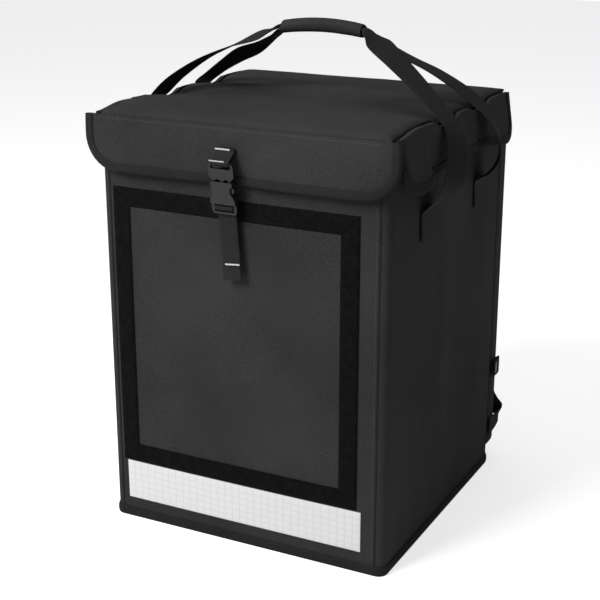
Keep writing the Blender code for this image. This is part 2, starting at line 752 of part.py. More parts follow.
def make_closure():
    """The buckle on its two pieces of webbing, one hung from the flap and one from the panel."""
    closure = bpy.data.objects.new("closure", None)
    bpy.context.scene.collection.objects.link(closure)
    closure.location = (PANEL_CENTRE_X, -HALF_DEPTH - BUCKLE_STAND, BUCKLE_BAR_HEIGHT)
    closure.rotation_euler.x = math.radians(90) + BUCKLE_TILT
    bpy.context.view_layer.update()
    to_world = closure.matrix_world.copy()
    web_slot = CLOSURE_WEB + 0.002
    foot = BAR / 2 - BUCKLE_LENGTH

    # Male half: a bar for the tab, a base and two sprung arms that reach into the female half
    slot = [place + Vector((0, -(BAR + TAB_SLOT) / 2)) for place in rounded_outline(web_slot, TAB_SLOT, 0.001, 2)]
    mesh = plate_mesh("buckle_male", (buckle_outline(MALE_CORNERS), slot), MALE_THICKNESS)
    male = add_part("buckle_male", mesh, "plastic")
    male.parent = closure

    # Female half: a flat case, open at its mouth and sides, over a thinner foot with two slots
    slots = []
    for middle in (foot + BAR + SLOT / 2, foot + 2 * BAR + 1.5 * SLOT):
        slots.append([place + Vector((0, middle)) for place in rounded_outline(web_slot, SLOT, 0.001, 2)])
    mesh = plate_mesh("buckle_female", [buckle_outline(FEMALE_CORNERS)] + slots, FEMALE_THICKNESS)
    female = add_part("buckle_female", mesh, "plastic")
    female.parent = closure
    half, deep, past = CAVITY_WIDTH / 2, CAVITY_THICKNESS / 2, 0.005
    cut(female, cutter_box("cavity", (-half, BAR / 2 - CAVITY_END, -deep), (half, past, deep), closure))
    low, high = foot - past, BAR / 2 - LEDGE
    thin, thick = MALE_THICKNESS / 2, FEMALE_THICKNESS
    cut(female, cutter_box("front_ledge", (-BUCKLE_WIDTH, low, thin), (BUCKLE_WIDTH, high, thick), closure))
    cut(female, cutter_box("back_ledge", (-BUCKLE_WIDTH, low, -thick), (BUCKLE_WIDTH, high, -thin), closure))

    # Tab: down the flap, over the front of the bar, through its slot and back up behind itself
    across = Vector((1, 0, 0))
    web = CLOSURE_WEB_THICKNESS
    reach = 2 * GAP + web / 2

    def on_flap(z, layer):
        x = PANEL_CENTRE_X
        return Vector((x, -front_flap_face(x, z) - GAP - web / 2 - layer * (web + 4 * GAP), z))

    def station(place):
        return Station(place, across, 0, CLOSURE_WEB, web)

    tab = [on_flap(TAB_TOP, 1), on_flap(TAB_TOP - TAB_SEWN, 1)]
    for angle in (45, 10, -30, -60, -90, -120, -150, -180):
        turn = math.radians(angle)
        up, out = (math.copysign(abs(part) ** 0.7, part) for part in (math.sin(turn), math.cos(turn)))
        tab.append(to_world @ Vector((0, (BAR / 2 + reach) * up, (MALE_THICKNESS / 2 + reach) * out)))
    tab.append(to_world @ Vector((0, BAR / 2, -MALE_THICKNESS / 2 - reach - web)))
    tab += [on_flap(TAB_TOP - 1.8 * TAB_SEWN, 0), on_flap(TAB_TOP - web, 0)]
    strap("closure_tab", smooth_route([station(place) for place in tab], 2), "webbing")

    # Lower strap: up from the panel behind the foot, round the middle bar and down as a free tail
    def on_panel(z, off=0.0):
        x = PANEL_CENTRE_X
        return Vector((x, -front_face(x, z) - 2 * GAP - web / 2 - off, z))

    top = ANCHOR_BOTTOM + ANCHOR_SEWN
    route = [on_panel(ANCHOR_BOTTOM), on_panel(top - ANCHOR_SEWN / 2), on_panel(top), on_panel(top + 0.007, 0.0026)]
    route += [to_world @ place for place in wrapped(foot, MALE_THICKNESS, web)]
    tail_top = to_world @ Vector((0, foot - 0.002, -MALE_THICKNESS / 2 - reach))
    route.append(tail_top)
    for share in (0.33, 0.66, 1.0):
        drop = TAIL_LENGTH * share
        x = tail_top.x + drop * math.sin(TAIL_LEAN)
        z = tail_top.z - drop * math.cos(TAIL_LEAN)
        stand = front_face(x, z) + web + TAIL_STAND * (1 - 0.25 * math.sin(math.pi * share))
        route.append(Vector((x, min(tail_top.y, 0) * (1 - share) - stand * share, z)))
    strap("closure_strap", smooth_route([station(place) for place in route], 2), "webbing")


def rest_height(y):
    """The height of a strap's middle where it lies on the lid's side seam."""
    reach = HANDLE_WEB / 2
    crest = max(lid_top(HALF_WIDTH, y + share * reach) for share in (-1, -0.5, 0, 0.5, 1))
    return crest + GAP + HANDLE_WEB_THICKNESS / 2


def handle_side(handle, side):
    """Stations beside the bag, from the sewn end up to the seam."""
    sewn, seam = handle.sewn * BODY_DEPTH, handle.seam * BODY_DEPTH
    across = Vector((0, 1, 0))
    thick = HANDLE_WEB_THICKNESS
    sewn_top = HANDLE_SEWN_BOTTOM + HANDLE_SEWN_LENGTH

    def on_panel(z):
        crest = max(side_face(sewn + share * HANDLE_WEB / 2, z) for share in (-1, -0.5, 0, 0.5, 1))
        return crest + 2 * GAP + thick / 2

    stations = []
    for share in (0.0, 0.5, 1.0):
        z = HANDLE_SEWN_BOTTOM + HANDLE_SEWN_LENGTH * share
        stations.append(Station(Vector((side * on_panel(z), sewn, z)), across, 0, HANDLE_WEB, thick))
    climb = rest_height(seam) - sewn_top
    inner = on_panel(sewn_top)
    lean_side = 1 if handle.seam < 0 else -1
    for row in HANGS:
        y = sewn + (seam - sewn) * row.lean
        place = Vector((side * (inner + HANDLE_BULGE * row.out), y, sewn_top + climb * row.climb))
        stations.append(Station(place, across, -row.turn * lean_side, HANDLE_WEB, thick))
    return stations


def handle_leg(handle, side):
    """Stations from the lid's side seam to the grip."""
    leg = next(row for row in LEGS if row.strap == handle.name and row.side == side)
    across = Vector((0, 1, 0))
    thick = HANDLE_WEB_THICKNESS
    y = handle.seam * BODY_DEPTH
    tilt = math.sin(math.radians(abs(leg.turn_seam))) * HANDLE_WEB / 2
    seam = Vector((side * (HALF_WIDTH + FLAP_FACE - thick), y, rest_height(y) + tilt + 7 * GAP))
    lift = handle.layer * (FOLDED_WEB_THICKNESS + 3 * GAP) / 2
    end = GRIP_CENTRE + Vector((side * GRIP_LENGTH / 2, 0, lift))
    bow = leg.bow * (GRIP_CENTRE.z - LID_TOP)
    stations = [Station(seam, across, -leg.turn_seam, HANDLE_WEB, thick)]
    for share, turn in ((0.14, leg.turn_seam), (0.36, (leg.turn_seam + leg.turn_middle) / 2),
                        (0.58, leg.turn_middle), (0.80, leg.turn_grip)):
        rise = bow * BOW_PEAK * share * (1 - share) ** 2 + handle.layer * HANDLE_SPREAD * share
        place = seam.lerp(end, share) + Vector((0, 0, rise))
        stations.append(Station(place, across, -turn, HANDLE_WEB, thick))
    place = seam.lerp(end, 0.91) + Vector((0, 0, handle.layer * HANDLE_SPREAD))
    width = (HANDLE_WEB + FOLDED_WEB) / 2
    stations.append(Station(place, across, -leg.turn_grip * 0.4, width, (thick + FOLDED_WEB_THICKNESS) / 2))
    return stations


def make_handles():
    """Each strap runs from one side panel over the lid, through the grip, to the other."""
    across = Vector((0, 1, 0))
    for handle in HANDLES:
        right = handle_side(handle, 1) + handle_leg(handle, 1)
        left = handle_side(handle, -1) + handle_leg(handle, -1)
        lift = handle.layer * (FOLDED_WEB_THICKNESS + 3 * GAP) / 2
        held = []
        for share in (1.0, 0.5, 0.0, -0.5, -1.0):
            place = GRIP_CENTRE + Vector((share * GRIP_LENGTH / 2, 0, lift + GRIP_ARCH * (1 - share**2)))
            held.append(Station(place, across, 0, FOLDED_WEB, FOLDED_WEB_THICKNESS))
        strap(handle.name, smooth_route(right + held + left[::-1], 3), "webbing")


def make_grip():
    """The padded sleeve round both straps: an oval tube on a slight arch."""
    rings = []
    steps = 8
    sides = 16
    for index in range(steps + 1):
        share = 2 * index / steps - 1
        middle = GRIP_CENTRE + Vector((share * GRIP_LENGTH / 2, 0, GRIP_ARCH * (1 - share**2)))
        ring = []
        for side in range(sides):
            turn = 2 * math.pi * (side + 0.5) / sides
            ring.append(middle + Vector((0, GRIP_WIDTH / 2 * math.cos(turn), GRIP_THICKNESS / 2 * math.sin(turn))))
        rings.append(ring)
    grip = loft("hand_grip", rings, "cloth")
    slot = []
    for index in range(steps + 3):
        share = 2 * (index - 1) / steps - 1
        middle = GRIP_CENTRE + Vector((share * GRIP_LENGTH / 2, 0, GRIP_ARCH * (1 - share**2)))
        half, deep = GRIP_SLOT_WIDTH / 2, GRIP_SLOT_THICKNESS / 2
        slot.append([middle + Vector((0, a * half, b * deep)) for a, b in ((1, 1), (-1, 1), (-1, -1), (1, -1))])
    channel = loft("grip_channel", slot, "cloth")
    parts.objects.unlink(channel)
    cutters.objects.link(channel)
    channel.hide_render = True
    channel.display_type = "WIRE"
    cut(grip, channel)


def make_back_pad():
    """The cushion on the back, with a channel down its middle."""
    bm = bmesh.new()
    bmesh.ops.create_cube(bm, size=1)
    height = PAD_TOP - PAD_BOTTOM
    for corner in bm.verts:
        corner.co = (corner.co.x * PAD_WIDTH, HALF_DEPTH + GAP + (corner.co.y + 0.5) * PAD_THICKNESS,
                     PAD_BOTTOM + (corner.co.z + 0.5) * height)
    weight = bm.edges.layers.float.new("bevel_weight_edge")
    for edge in bm.edges:
        outer = min(corner.co.y for corner in edge.verts) > PAD_FACE - MERGE
        edge[weight] = 1.0 if outer else 0.0
    long_edges = [edge for edge in bm.edges if abs(edge.verts[0].co.y - edge.verts[1].co.y) < MERGE]
    bmesh.ops.subdivide_edges(bm, edges=long_edges, cuts=9, use_grid_fill=True)
    for corner in bm.verts:
        if corner.co.y > PAD_FACE - MERGE:
            across = abs(corner.co.x) / (PAD_WIDTH / 2)
            up = (corner.co.z - PAD_BOTTOM) / height
            channel = plateau(corner.co.x, PAD_WIDTH * 0.03, PAD_WIDTH * 0.09)
            inside = smooth((1 - across) * 4) * smooth(min(up, 1 - up) * 6)
            corner.co.y -= PAD_CHANNEL_DEPTH * channel * inside
    item = add_part("back_pad", bpy.data.meshes.new("back_pad"), "mesh")
    bevel_marked(bm, item, PAD_RADIUS)


def make_shoulder_straps():
    """Padded straps, their webbing, adjusters and the anchors in the back seams."""
    for side, word in ((1, "right"), (-1, "left")):
        across = Vector((side, 0, 0))
        fall = SHOULDER_TOP - SHOULDER_BOTTOM
        sway = SHOULDER_BOTTOM_X - SHOULDER_TOP_X
        base_y = PAD_FACE + GAP + SHOULDER_THICKNESS / 2
        route = []
        for row in SHOULDER_BOWS:
            place = Vector((side * (SHOULDER_TOP_X + sway * row.across), base_y + SHOULDER_STAND * row.stand,
                            SHOULDER_TOP - fall * row.down))
            route.append(Station(place, across, 0, SHOULDER_WIDTH, SHOULDER_THICKNESS))
        strap("shoulder_strap_" + word, smooth_route(route, 4), "mesh", chamfer=0.004)

        # Adjuster: a plate with two slots under the padded end
        end, before = route[-1].place, route[-2].place
        way = (end - before).normalized()
        aside = (across - way * across.dot(way)).normalized()
        turned = Matrix((aside, -way, way.cross(aside))).transposed()
        outline = rounded_outline(ADJUSTER_WIDTH, ADJUSTER_LENGTH, 0.004, 3)
        slots = []
        for up in (-1, 1):
            middle = Vector((0, ADJUSTER_FOOT + BAR * 1.5 + SLOT + up * (SLOT + BAR) / 2))
            slots.append([place + middle for place in rounded_outline(SHOULDER_WEB + 0.002, SLOT, 0.001, 2)])
        mesh = plate_mesh("adjuster_" + word, [outline] + slots, ADJUSTER_THICKNESS)
        adjuster = add_part("adjuster_" + word, mesh, "plastic")
        adjuster.location = end + way * (ADJUSTER_LENGTH / 2 + GAP)
        adjuster.rotation_euler = turned.to_euler()
        bpy.context.view_layer.update()
        to_world = adjuster.matrix_world.copy()

        # Webbing from the anchor in the back seam, over the adjuster's bar and down as a tail
        web = SHOULDER_WEB_THICKNESS
        seam_x = side * (PAD_WIDTH / 2 + GAP + web / 2)
        mirror = Vector((1, 1, -side))
        wraps = [to_world @ (place * mirror) for place in wrapped(ADJUSTER_FOOT, ADJUSTER_THICKNESS, web)]
        sewn = Vector((seam_x, HALF_DEPTH + 2 * GAP + web, LOWER_ANCHOR_Z))
        reach = sewn + Vector((0, ANCHOR_REACH, 0))
        anchor_across = Vector((0, 0, 1))
        corner = Vector((side * (PAD_WIDTH / 2 + 0.0010), PAD_FACE + 0.0004, LOWER_ANCHOR_Z + 0.010))
        edge = Vector((side * (PAD_WIDTH / 2 - 0.016), PAD_FACE + 0.004, LOWER_ANCHOR_Z + 0.028))
        halfway = edge.lerp(wraps[0], 0.5) + Vector((0, 0.004, 0))
        stations = [
            Station(sewn, anchor_across, 0, SHOULDER_WEB, web),
            Station(reach, anchor_across, 0, SHOULDER_WEB, web),
            Station(corner, across * 0.2 + anchor_across, 0, SHOULDER_WEB, web),
            Station(edge, across * 0.8 + anchor_across * 0.7, 0, SHOULDER_WEB, web),
            Station(halfway, across + anchor_across * 0.4, 0, SHOULDER_WEB, web),
        ]
        stations += [Station(place, aside, 0, SHOULDER_WEB, web) for place in wraps]
        for drop in (0, SHOULDER_TAIL / 2, SHOULDER_TAIL):
            place = wraps[-1] + way * 0.012 + Vector((0, 0.002 - 0.06 * drop, -drop))
            stations.append(Station(place, aside, 0, SHOULDER_WEB, web))
        strap("shoulder_webbing_" + word, smooth_route(stations, 2), "webbing")

        # Upper anchor: a short folded loop sewn into the seam
        loop_start = Vector((seam_x, HALF_DEPTH + 2 * GAP + web, UPPER_ANCHOR_Z))
        outward = Vector((side * (2 * web + 0.0005), 0, 0))
        loop = [loop_start, loop_start + Vector((0, ANCHOR_REACH * 0.8, 0))]
        loop.append(loop_start + Vector((side * (web + 0.00025), ANCHOR_REACH + 0.002, 0)))
        loop.append(loop_start + outward + Vector((0, ANCHOR_REACH * 0.8, 0)))
        loop.append(loop_start + outward)
        stations = [Station(place, anchor_across, 0, SHOULDER_WEB, web) for place in loop]
        strap("anchor_loop_" + word, smooth_route(stations, 2), "webbing")


for old in list(bpy.data.objects):
    bpy.data.objects.remove(old)
parts = bpy.data.collections.new("delivery_backpack")
cutters = bpy.data.collections.new("cutters")
bpy.context.scene.collection.children.link(parts)
bpy.context.scene.collection.children.link(cutters)
make_body()
make_base_binding()
make_lid()
make_hinge()
make_flaps()
make_front_panel()
make_closure()
make_handles()
make_grip()
make_back_pad()
make_shoulder_straps()
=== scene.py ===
# %% [markdown]
# # An insulated delivery backpack
# A tall padded box of black woven nylon with a flap lid, a buckle, a reflective strip and a grip on
# two webbing straps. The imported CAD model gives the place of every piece. This lesson dresses it:
# the lid, the grip and the back cushion are swelled by a cloth simulation, flat goods are laid out
# as grids of their real size, and every finish is a procedural material.

# %% Load the frame
import math
from collections import namedtuple

import bpy
import numpy as np
from mathutils import Matrix, Vector, noise


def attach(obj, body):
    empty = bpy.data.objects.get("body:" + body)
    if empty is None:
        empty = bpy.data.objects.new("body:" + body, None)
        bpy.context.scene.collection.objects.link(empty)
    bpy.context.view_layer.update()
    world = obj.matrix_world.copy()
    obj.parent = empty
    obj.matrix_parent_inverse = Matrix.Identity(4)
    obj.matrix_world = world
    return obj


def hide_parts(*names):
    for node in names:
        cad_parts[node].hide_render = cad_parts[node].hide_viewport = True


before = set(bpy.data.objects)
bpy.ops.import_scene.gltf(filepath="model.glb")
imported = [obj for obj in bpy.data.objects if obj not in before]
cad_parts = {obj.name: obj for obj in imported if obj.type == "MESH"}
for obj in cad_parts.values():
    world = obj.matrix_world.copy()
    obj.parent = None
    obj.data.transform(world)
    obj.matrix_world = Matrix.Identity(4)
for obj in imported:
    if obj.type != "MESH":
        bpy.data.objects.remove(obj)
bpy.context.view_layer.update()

# %% [markdown]
# ## Camera, floor and light
# The box's edges in the photograph give the camera: 27 degrees round to the right, 18 degrees up,
# with a long lens. A plain pale floor and large soft lamps stand for the studio. The largest lamp
# hangs at the upper left, so the front is lighter than the right side. The studio's wall is white to
# the camera, but it lights the bag only weakly, as a wall that stands well back does.

# %% Camera
camera_data = bpy.data.cameras.new("camera")
camera_data.lens = 79.8
camera_data.sensor_width = 36
camera = bpy.data.objects.new("camera", camera_data)
bpy.context.scene.collection.objects.link(camera)
camera.location = (0.7754, -1.5555, 0.8553)
camera.rotation_euler = (math.radians(90 - 18.32), 0, math.radians(26.96))
bpy.context.scene.camera = camera

# %% Floor and lamps
bpy.ops.object.select_all(action="DESELECT")
bpy.ops.mesh.primitive_plane_add(size=14, location=(0, 0, -0.0005))
floor = bpy.context.object
floor.name = "studio_floor"


def lamp(name, place, aim, size, power):
    """A soft rectangular lamp that shines at a point."""
    data = bpy.data.lights.new(name, "AREA")
    data.size = size
    data.energy = power
    item = bpy.data.objects.new(name, data)
    bpy.context.scene.collection.objects.link(item)
    item.location = place
    item.rotation_euler = (Vector(aim) - Vector(place)).to_track_quat("-Z", "Y").to_euler()


lamp("key_lamp", (-0.9, -1.8, 1.9), (0, 0, 0.35), 1.2, 56)
lamp("top_lamp", (-0.2, 0.5, 2.9), (0, 0, 0.5), 2.0, 12)
lamp("side_lamp", (2.9, 0.2, 1.2), (0, 0, 0.3), 1.4, 2)
world = bpy.data.worlds.new("studio")
world.use_nodes = True
backdrop = world.node_tree.nodes["Background"]
backdrop.inputs["Color"].default_value = (1, 1, 1, 1)
seen = world.node_tree.nodes.new("ShaderNodeLightPath")
level = world.node_tree.nodes.new("ShaderNodeMapRange")
level.inputs["To Min"].default_value = 0.21
level.inputs["To Max"].default_value = 1.0
world.node_tree.links.new(seen.outputs["Is Camera Ray"], level.inputs["Value"])
world.node_tree.links.new(level.outputs["Result"], backdrop.inputs["Strength"])
bpy.context.scene.world = world
bpy.context.scene.view_settings.view_transform = "Standard"
print("camera", tuple(round(x, 3) for x in camera.location), "lens", camera_data.lens)

# %% [markdown]
# ## Node helpers
# Each finish below is a small network. Two helpers keep the cells short: one adds a node and sets
# its values, the other does sums with sockets or numbers.


# %% Node helpers
def add(tree, kind, settings=None, **sockets):
    """A node of a kind, with settings and with numbers or links on named inputs."""
    node = tree.nodes.new(kind)
    for key, value in (settings or {}).items():
        setattr(node, key, value)
    for key, value in sockets.items():
        numbered = key[0] == "i" and key[1:].isdigit()
        socket = node.inputs[int(key[1:]) if numbered else key.replace("_", " ")]
        if isinstance(value, bpy.types.NodeSocket):
            tree.links.new(value, socket)
        else:
            socket.default_value = value
    return node


def calc(tree, operation, first, second=0.0, third=0.0):
    """The result of a Math node."""
    return add(tree, "ShaderNodeMath", {"operation": operation}, i0=first, i1=second, i2=third).outputs[0]


def new_group(name, inputs, outputs):
    """A shader node group with named value, vector and colour sockets."""
    tree = bpy.data.node_groups.new(name, "ShaderNodeTree")
    for label, kind, value in inputs:
        socket = tree.interface.new_socket(label, in_out="INPUT", socket_type="NodeSocket" + kind)
        if value is not None:
            socket.default_value = value
    for label, kind in outputs:
        tree.interface.new_socket(label, in_out="OUTPUT", socket_type="NodeSocket" + kind)
    return tree, tree.nodes.new("NodeGroupInput"), tree.nodes.new("NodeGroupOutput")


# %% [markdown]
# ## Effects that several finishes share
# *Weave* is the over and under of threads. It reads the piece's own UV map, which is in metres, so
# a thread is as wide on a strap as on the box. Its gap mask marks the hollows between threads.
# *Tone* is the slow change of colour that handling and dust leave on dark cloth, with painted shade
# in the gaps between threads. *Stitches* is a dashed line of thread at a set distance from an edge.

# %% The weave group
weave, given, made = new_group(
    "weave",
    (("UV", "Vector", None), ("Across", "Float", 900.0), ("Along", "Float", 900.0), ("Slub", "Float", 0.3)),
    (("Height", "Float"), ("Gap", "Float")),
)
parts_uv = add(weave, "ShaderNodeSeparateXYZ", Vector=given.outputs["UV"])
wander = add(weave, "ShaderNodeTexNoise", Vector=given.outputs["UV"], Scale=160.0, Detail=2.0)
drift = calc(weave, "MULTIPLY", calc(weave, "SUBTRACT", wander.outputs["Fac"], 0.5), given.outputs["Slub"])
over = calc(weave, "ADD", calc(weave, "MULTIPLY", parts_uv.outputs["X"], given.outputs["Across"]), drift)
under = calc(weave, "ADD", calc(weave, "MULTIPLY", parts_uv.outputs["Y"], given.outputs["Along"]), drift)
warp = calc(weave, "ABSOLUTE", calc(weave, "SINE", calc(weave, "MULTIPLY", over, math.pi)))
weft = calc(weave, "ABSOLUTE", calc(weave, "SINE", calc(weave, "MULTIPLY", under, math.pi)))
turn = calc(
    weave, "MODULO", calc(weave, "ADD", calc(weave, "FLOOR", over), calc(weave, "FLOOR", under)), 2.0
)
on_top = calc(weave, "ABSOLUTE", turn)
height = calc(
    weave, "ADD", calc(weave, "MULTIPLY", warp, on_top),
    calc(weave, "MULTIPLY", weft, calc(weave, "SUBTRACT", 1.0, on_top)),
)
weave.links.new(height, made.inputs["Height"])
# Painted shade: this mask marks the gaps between threads, which the tone group darkens as shade.
gap_shade = add(weave, "ShaderNodeMapRange", Value=height, From_Min=0.0, From_Max=0.55, To_Min=1.0, To_Max=0.0)
weave.links.new(gap_shade.outputs["Result"], made.inputs["Gap"])

# %% The tone group
tone, given, made = new_group(
    "tone",
    (
        ("Dark", "Color", (0.02, 0.02, 0.02, 1)), ("Light", "Color", (0.05, 0.05, 0.05, 1)),
        ("Size", "Float", 6.0), ("Gap", "Float", 0.0),
    ),
    (("Colour", "Color"),),
)
place = add(tone, "ShaderNodeTexCoord")
patch = add(
    tone, "ShaderNodeTexNoise", Vector=place.outputs["Object"], Scale=given.outputs["Size"], Detail=3.0,
    Roughness=0.6,
)
grain = add(tone, "ShaderNodeTexNoise", Vector=place.outputs["Object"], Scale=620.0, Detail=1.0)
mixed = calc(
    tone, "ADD", calc(tone, "MULTIPLY", patch.outputs["Fac"], 0.65),
    calc(tone, "MULTIPLY", grain.outputs["Fac"], 0.75),
)
spread = add(tone, "ShaderNodeMapRange", Value=mixed, From_Min=0.42, From_Max=0.98)
# Painted shade: the colour is darkened by up to 60 percent in the gaps between threads.
shade = calc(
    tone, "MULTIPLY", spread.outputs["Result"],
    calc(tone, "SUBTRACT", 1.0, calc(tone, "MULTIPLY", given.outputs["Gap"], 0.6)),
)
blend = add(
    tone, "ShaderNodeMix", {"data_type": "RGBA"}, i0=shade, i6=given.outputs["Dark"],
    i7=given.outputs["Light"],
)
tone.links.new(blend.outputs[2], made.inputs["Colour"])

# %% The stitches group
stitches, given, made = new_group(
    "stitches",
    (
        ("Across", "Float", 0.0), ("Along", "Float", 0.0), ("Place", "Float", 0.002),
        ("Pitch", "Float", 0.0035),
    ),
    (("Thread", "Float"), ("Dip", "Float")),
)
away = calc(
    stitches, "ABSOLUTE", calc(stitches, "SUBTRACT", given.outputs["Across"], given.outputs["Place"])
)
beat = calc(stitches, "FRACT", calc(stitches, "DIVIDE", given.outputs["Along"], given.outputs["Pitch"]))
inside = calc(
    stitches, "LESS_THAN", calc(stitches, "ABSOLUTE", calc(stitches, "SUBTRACT", beat, 0.5)), 0.36
)
near = add(
    stitches, "ShaderNodeMapRange", Value=away, From_Min=0.0003, From_Max=0.0007, To_Min=1.0, To_Max=0.0
)
stitches.links.new(calc(stitches, "MULTIPLY", near.outputs["Result"], inside), made.inputs["Thread"])
valley = add(
    stitches, "ShaderNodeMapRange", Value=away, From_Min=0.0, From_Max=0.0022, To_Min=1.0, To_Max=0.0
)
stitches.links.new(valley.outputs["Result"], made.inputs["Dip"])
print("shared effects:", [tree.name for tree in bpy.data.node_groups])

# %% [markdown]
# ## Finishes
# The box cloth is a coarse nylon plain weave with a slight grey bloom. Binding tape and webbing are
# closer and darker, loop tape is a mat of fuzz that swallows light, and the reflective tape is
# silver-white with a fine grid. Colours are read off the photograph as plain values.


# %% Cloth finishes
def blank(name):
    """A new material with its node tree and its Principled shader."""
    material = bpy.data.materials.new(name)
    material.use_nodes = True
    return material, material.node_tree, material.node_tree.nodes["Principled BSDF"]


def dress(tree, shader, share, dark, light, height, strength, distance):
    """Gives a shader a colour between dark and light, and a bump."""
    colour = add(tree, "ShaderNodeMix", {"data_type": "RGBA"}, i0=share, i6=dark, i7=light)
    tree.links.new(colour.outputs[2], shader.inputs["Base Color"])
    relief = add(tree, "ShaderNodeBump", Height=height, Strength=strength, Distance=distance)
    tree.links.new(relief.outputs["Normal"], shader.inputs["Normal"])


def cloth_finish(name, dark, light, threads, bump, rough, sheen=0.0, distance=0.0004, rows=()):
    """A woven finish. threads is (across, along) per metre; rows are stitched lines on the UV map."""
    material, tree, shader = blank(name)
    uv = add(tree, "ShaderNodeUVMap", {"uv_map": "UVMap"}).outputs["UV"]
    threads_node = add(
        tree, "ShaderNodeGroup", {"node_tree": weave}, UV=uv, Across=threads[0], Along=threads[1]
    )
    # The weave's gap mask paints shade between the threads into the colour.
    tone_node = add(
        tree, "ShaderNodeGroup", {"node_tree": tone}, Dark=dark, Light=light,
        Gap=threads_node.outputs["Gap"],
    )
    tall, colour = threads_node.outputs["Height"], tone_node.outputs["Colour"]
    axes = add(tree, "ShaderNodeSeparateXYZ", Vector=uv)
    for spot in rows:
        line = add(
            tree, "ShaderNodeGroup", {"node_tree": stitches}, Across=axes.outputs["Y"],
            Along=axes.outputs["X"], Place=spot,
        )
        tall = calc(tree, "ADD", tall, calc(tree, "MULTIPLY", line.outputs["Thread"], 1.6))
        tall = calc(tree, "SUBTRACT", tall, calc(tree, "MULTIPLY", line.outputs["Dip"], 2.2))
    relief = add(tree, "ShaderNodeBump", Height=tall, Strength=bump, Distance=distance)
    tree.links.new(colour, shader.inputs["Base Color"])
    tree.links.new(relief.outputs["Normal"], shader.inputs["Normal"])
    worn = add(
        tree, "ShaderNodeMapRange", Value=threads_node.outputs["Height"], To_Min=min(1.0, rough + 0.1),
        To_Max=rough - 0.05,
    )
    tree.links.new(worn.outputs["Result"], shader.inputs["Roughness"])
    shader.inputs["Sheen Weight"].default_value = sheen
    shader.inputs["Sheen Roughness"].default_value = 0.5
    shader.inputs["Specular IOR Level"].default_value = 0.22
    return material


box_cloth = cloth_finish(
    "box_cloth", (0.014, 0.0143, 0.0154, 1), (0.048, 0.049, 0.0515, 1), (930.0, 930.0), 0.55, 0.8, 0.0
)
binding_finish = cloth_finish(
    "binding_tape", (0.007, 0.007, 0.008, 1), (0.024, 0.024, 0.027, 1), (1250.0, 900.0), 0.5, 0.78, 0.0,
    0.0003, (0.0022,),
)
webbing_finish = cloth_finish(
    "webbing", (0.008, 0.008, 0.009, 1), (0.022, 0.022, 0.0245, 1), (1500.0, 1200.0), 0.45, 0.7, 0.0, 0.0003
)
lining_finish = cloth_finish(
    "spacer_mesh", (0.006, 0.006, 0.007, 1), (0.026, 0.026, 0.028, 1), (330.0, 330.0), 1.0, 0.85, 0.1,
    0.0012,
)

# %% Loop tape, reflective tape, thread and plastic
loop_finish, tree, shader = blank("loop_tape")
spot = add(tree, "ShaderNodeTexCoord").outputs["Object"]
fuzz = add(tree, "ShaderNodeTexNoise", Vector=spot, Scale=900.0, Detail=3.0, Roughness=0.75).outputs["Fac"]
mat = add(tree, "ShaderNodeTexNoise", Vector=spot, Scale=150.0, Detail=2.0).outputs["Fac"]
loops = add(
    tree, "ShaderNodeMapRange", Value=calc(tree, "MULTIPLY", fuzz, mat), From_Min=0.2, From_Max=0.36
)
dark, light = (0.0042, 0.0042, 0.0045, 1), (0.0080, 0.0080, 0.0085, 1)
dress(tree, shader, loops.outputs["Result"], dark, light, fuzz, 0.9, 0.0012)
shader.inputs["Roughness"].default_value = 1.0
shader.inputs["Specular IOR Level"].default_value = 0.1

reflective_finish, tree, shader = blank("reflective_tape")
uv = add(tree, "ShaderNodeUVMap", {"uv_map": "UVMap"}).outputs["UV"]
axes = add(tree, "ShaderNodeSeparateXYZ", Vector=uv)
lines = []
for axis, cell in (("X", 0.0108), ("Y", 0.0091)):
    beat = calc(tree, "FRACT", calc(tree, "DIVIDE", axes.outputs[axis], cell))
    away = calc(tree, "ABSOLUTE", calc(tree, "SUBTRACT", beat, 0.5))
    lines.append(
        add(tree, "ShaderNodeMapRange", Value=away, From_Min=0.43, From_Max=0.47).outputs["Result"]
    )
grid = calc(tree, "MAXIMUM", lines[0], lines[1])
beads = add(tree, "ShaderNodeTexNoise", Vector=uv, Scale=1500.0).outputs["Fac"]
raised = calc(tree, "ADD", calc(tree, "MULTIPLY", grid, -1.0), calc(tree, "MULTIPLY", beads, 0.2))
dress(tree, shader, grid, (0.82, 0.82, 0.825, 1), (0.72, 0.72, 0.73, 1), raised, 0.35, 0.0003)
rough = add(tree, "ShaderNodeMapRange", Value=beads, To_Min=0.34, To_Max=0.5).outputs["Result"]
tree.links.new(rough, shader.inputs["Roughness"])

plastic_finish, tree, shader = blank("moulded_plastic")
spot = add(tree, "ShaderNodeTexCoord").outputs["Object"]
grain = add(tree, "ShaderNodeTexNoise", Vector=spot, Scale=2400.0, Detail=1.0).outputs["Fac"]
flow = add(tree, "ShaderNodeTexNoise", Vector=spot, Scale=60.0, Detail=2.0).outputs["Fac"]
dress(tree, shader, flow, (0.005, 0.005, 0.006, 1), (0.013, 0.013, 0.015, 1), grain, 0.12, 0.0002)
rough = add(tree, "ShaderNodeMapRange", Value=flow, To_Min=0.26, To_Max=0.44).outputs["Result"]
tree.links.new(rough, shader.inputs["Roughness"])

thread_finish, tree, shader = blank("white_thread")
spot = add(tree, "ShaderNodeTexCoord").outputs["Object"]
ply = add(tree, "ShaderNodeTexNoise", Vector=spot, Scale=1800.0).outputs["Fac"]
dress(tree, shader, ply, (0.62, 0.62, 0.60, 1), (0.86, 0.86, 0.84, 1), ply, 0.5, 0.0002)
shader.inputs["Roughness"].default_value = 0.6

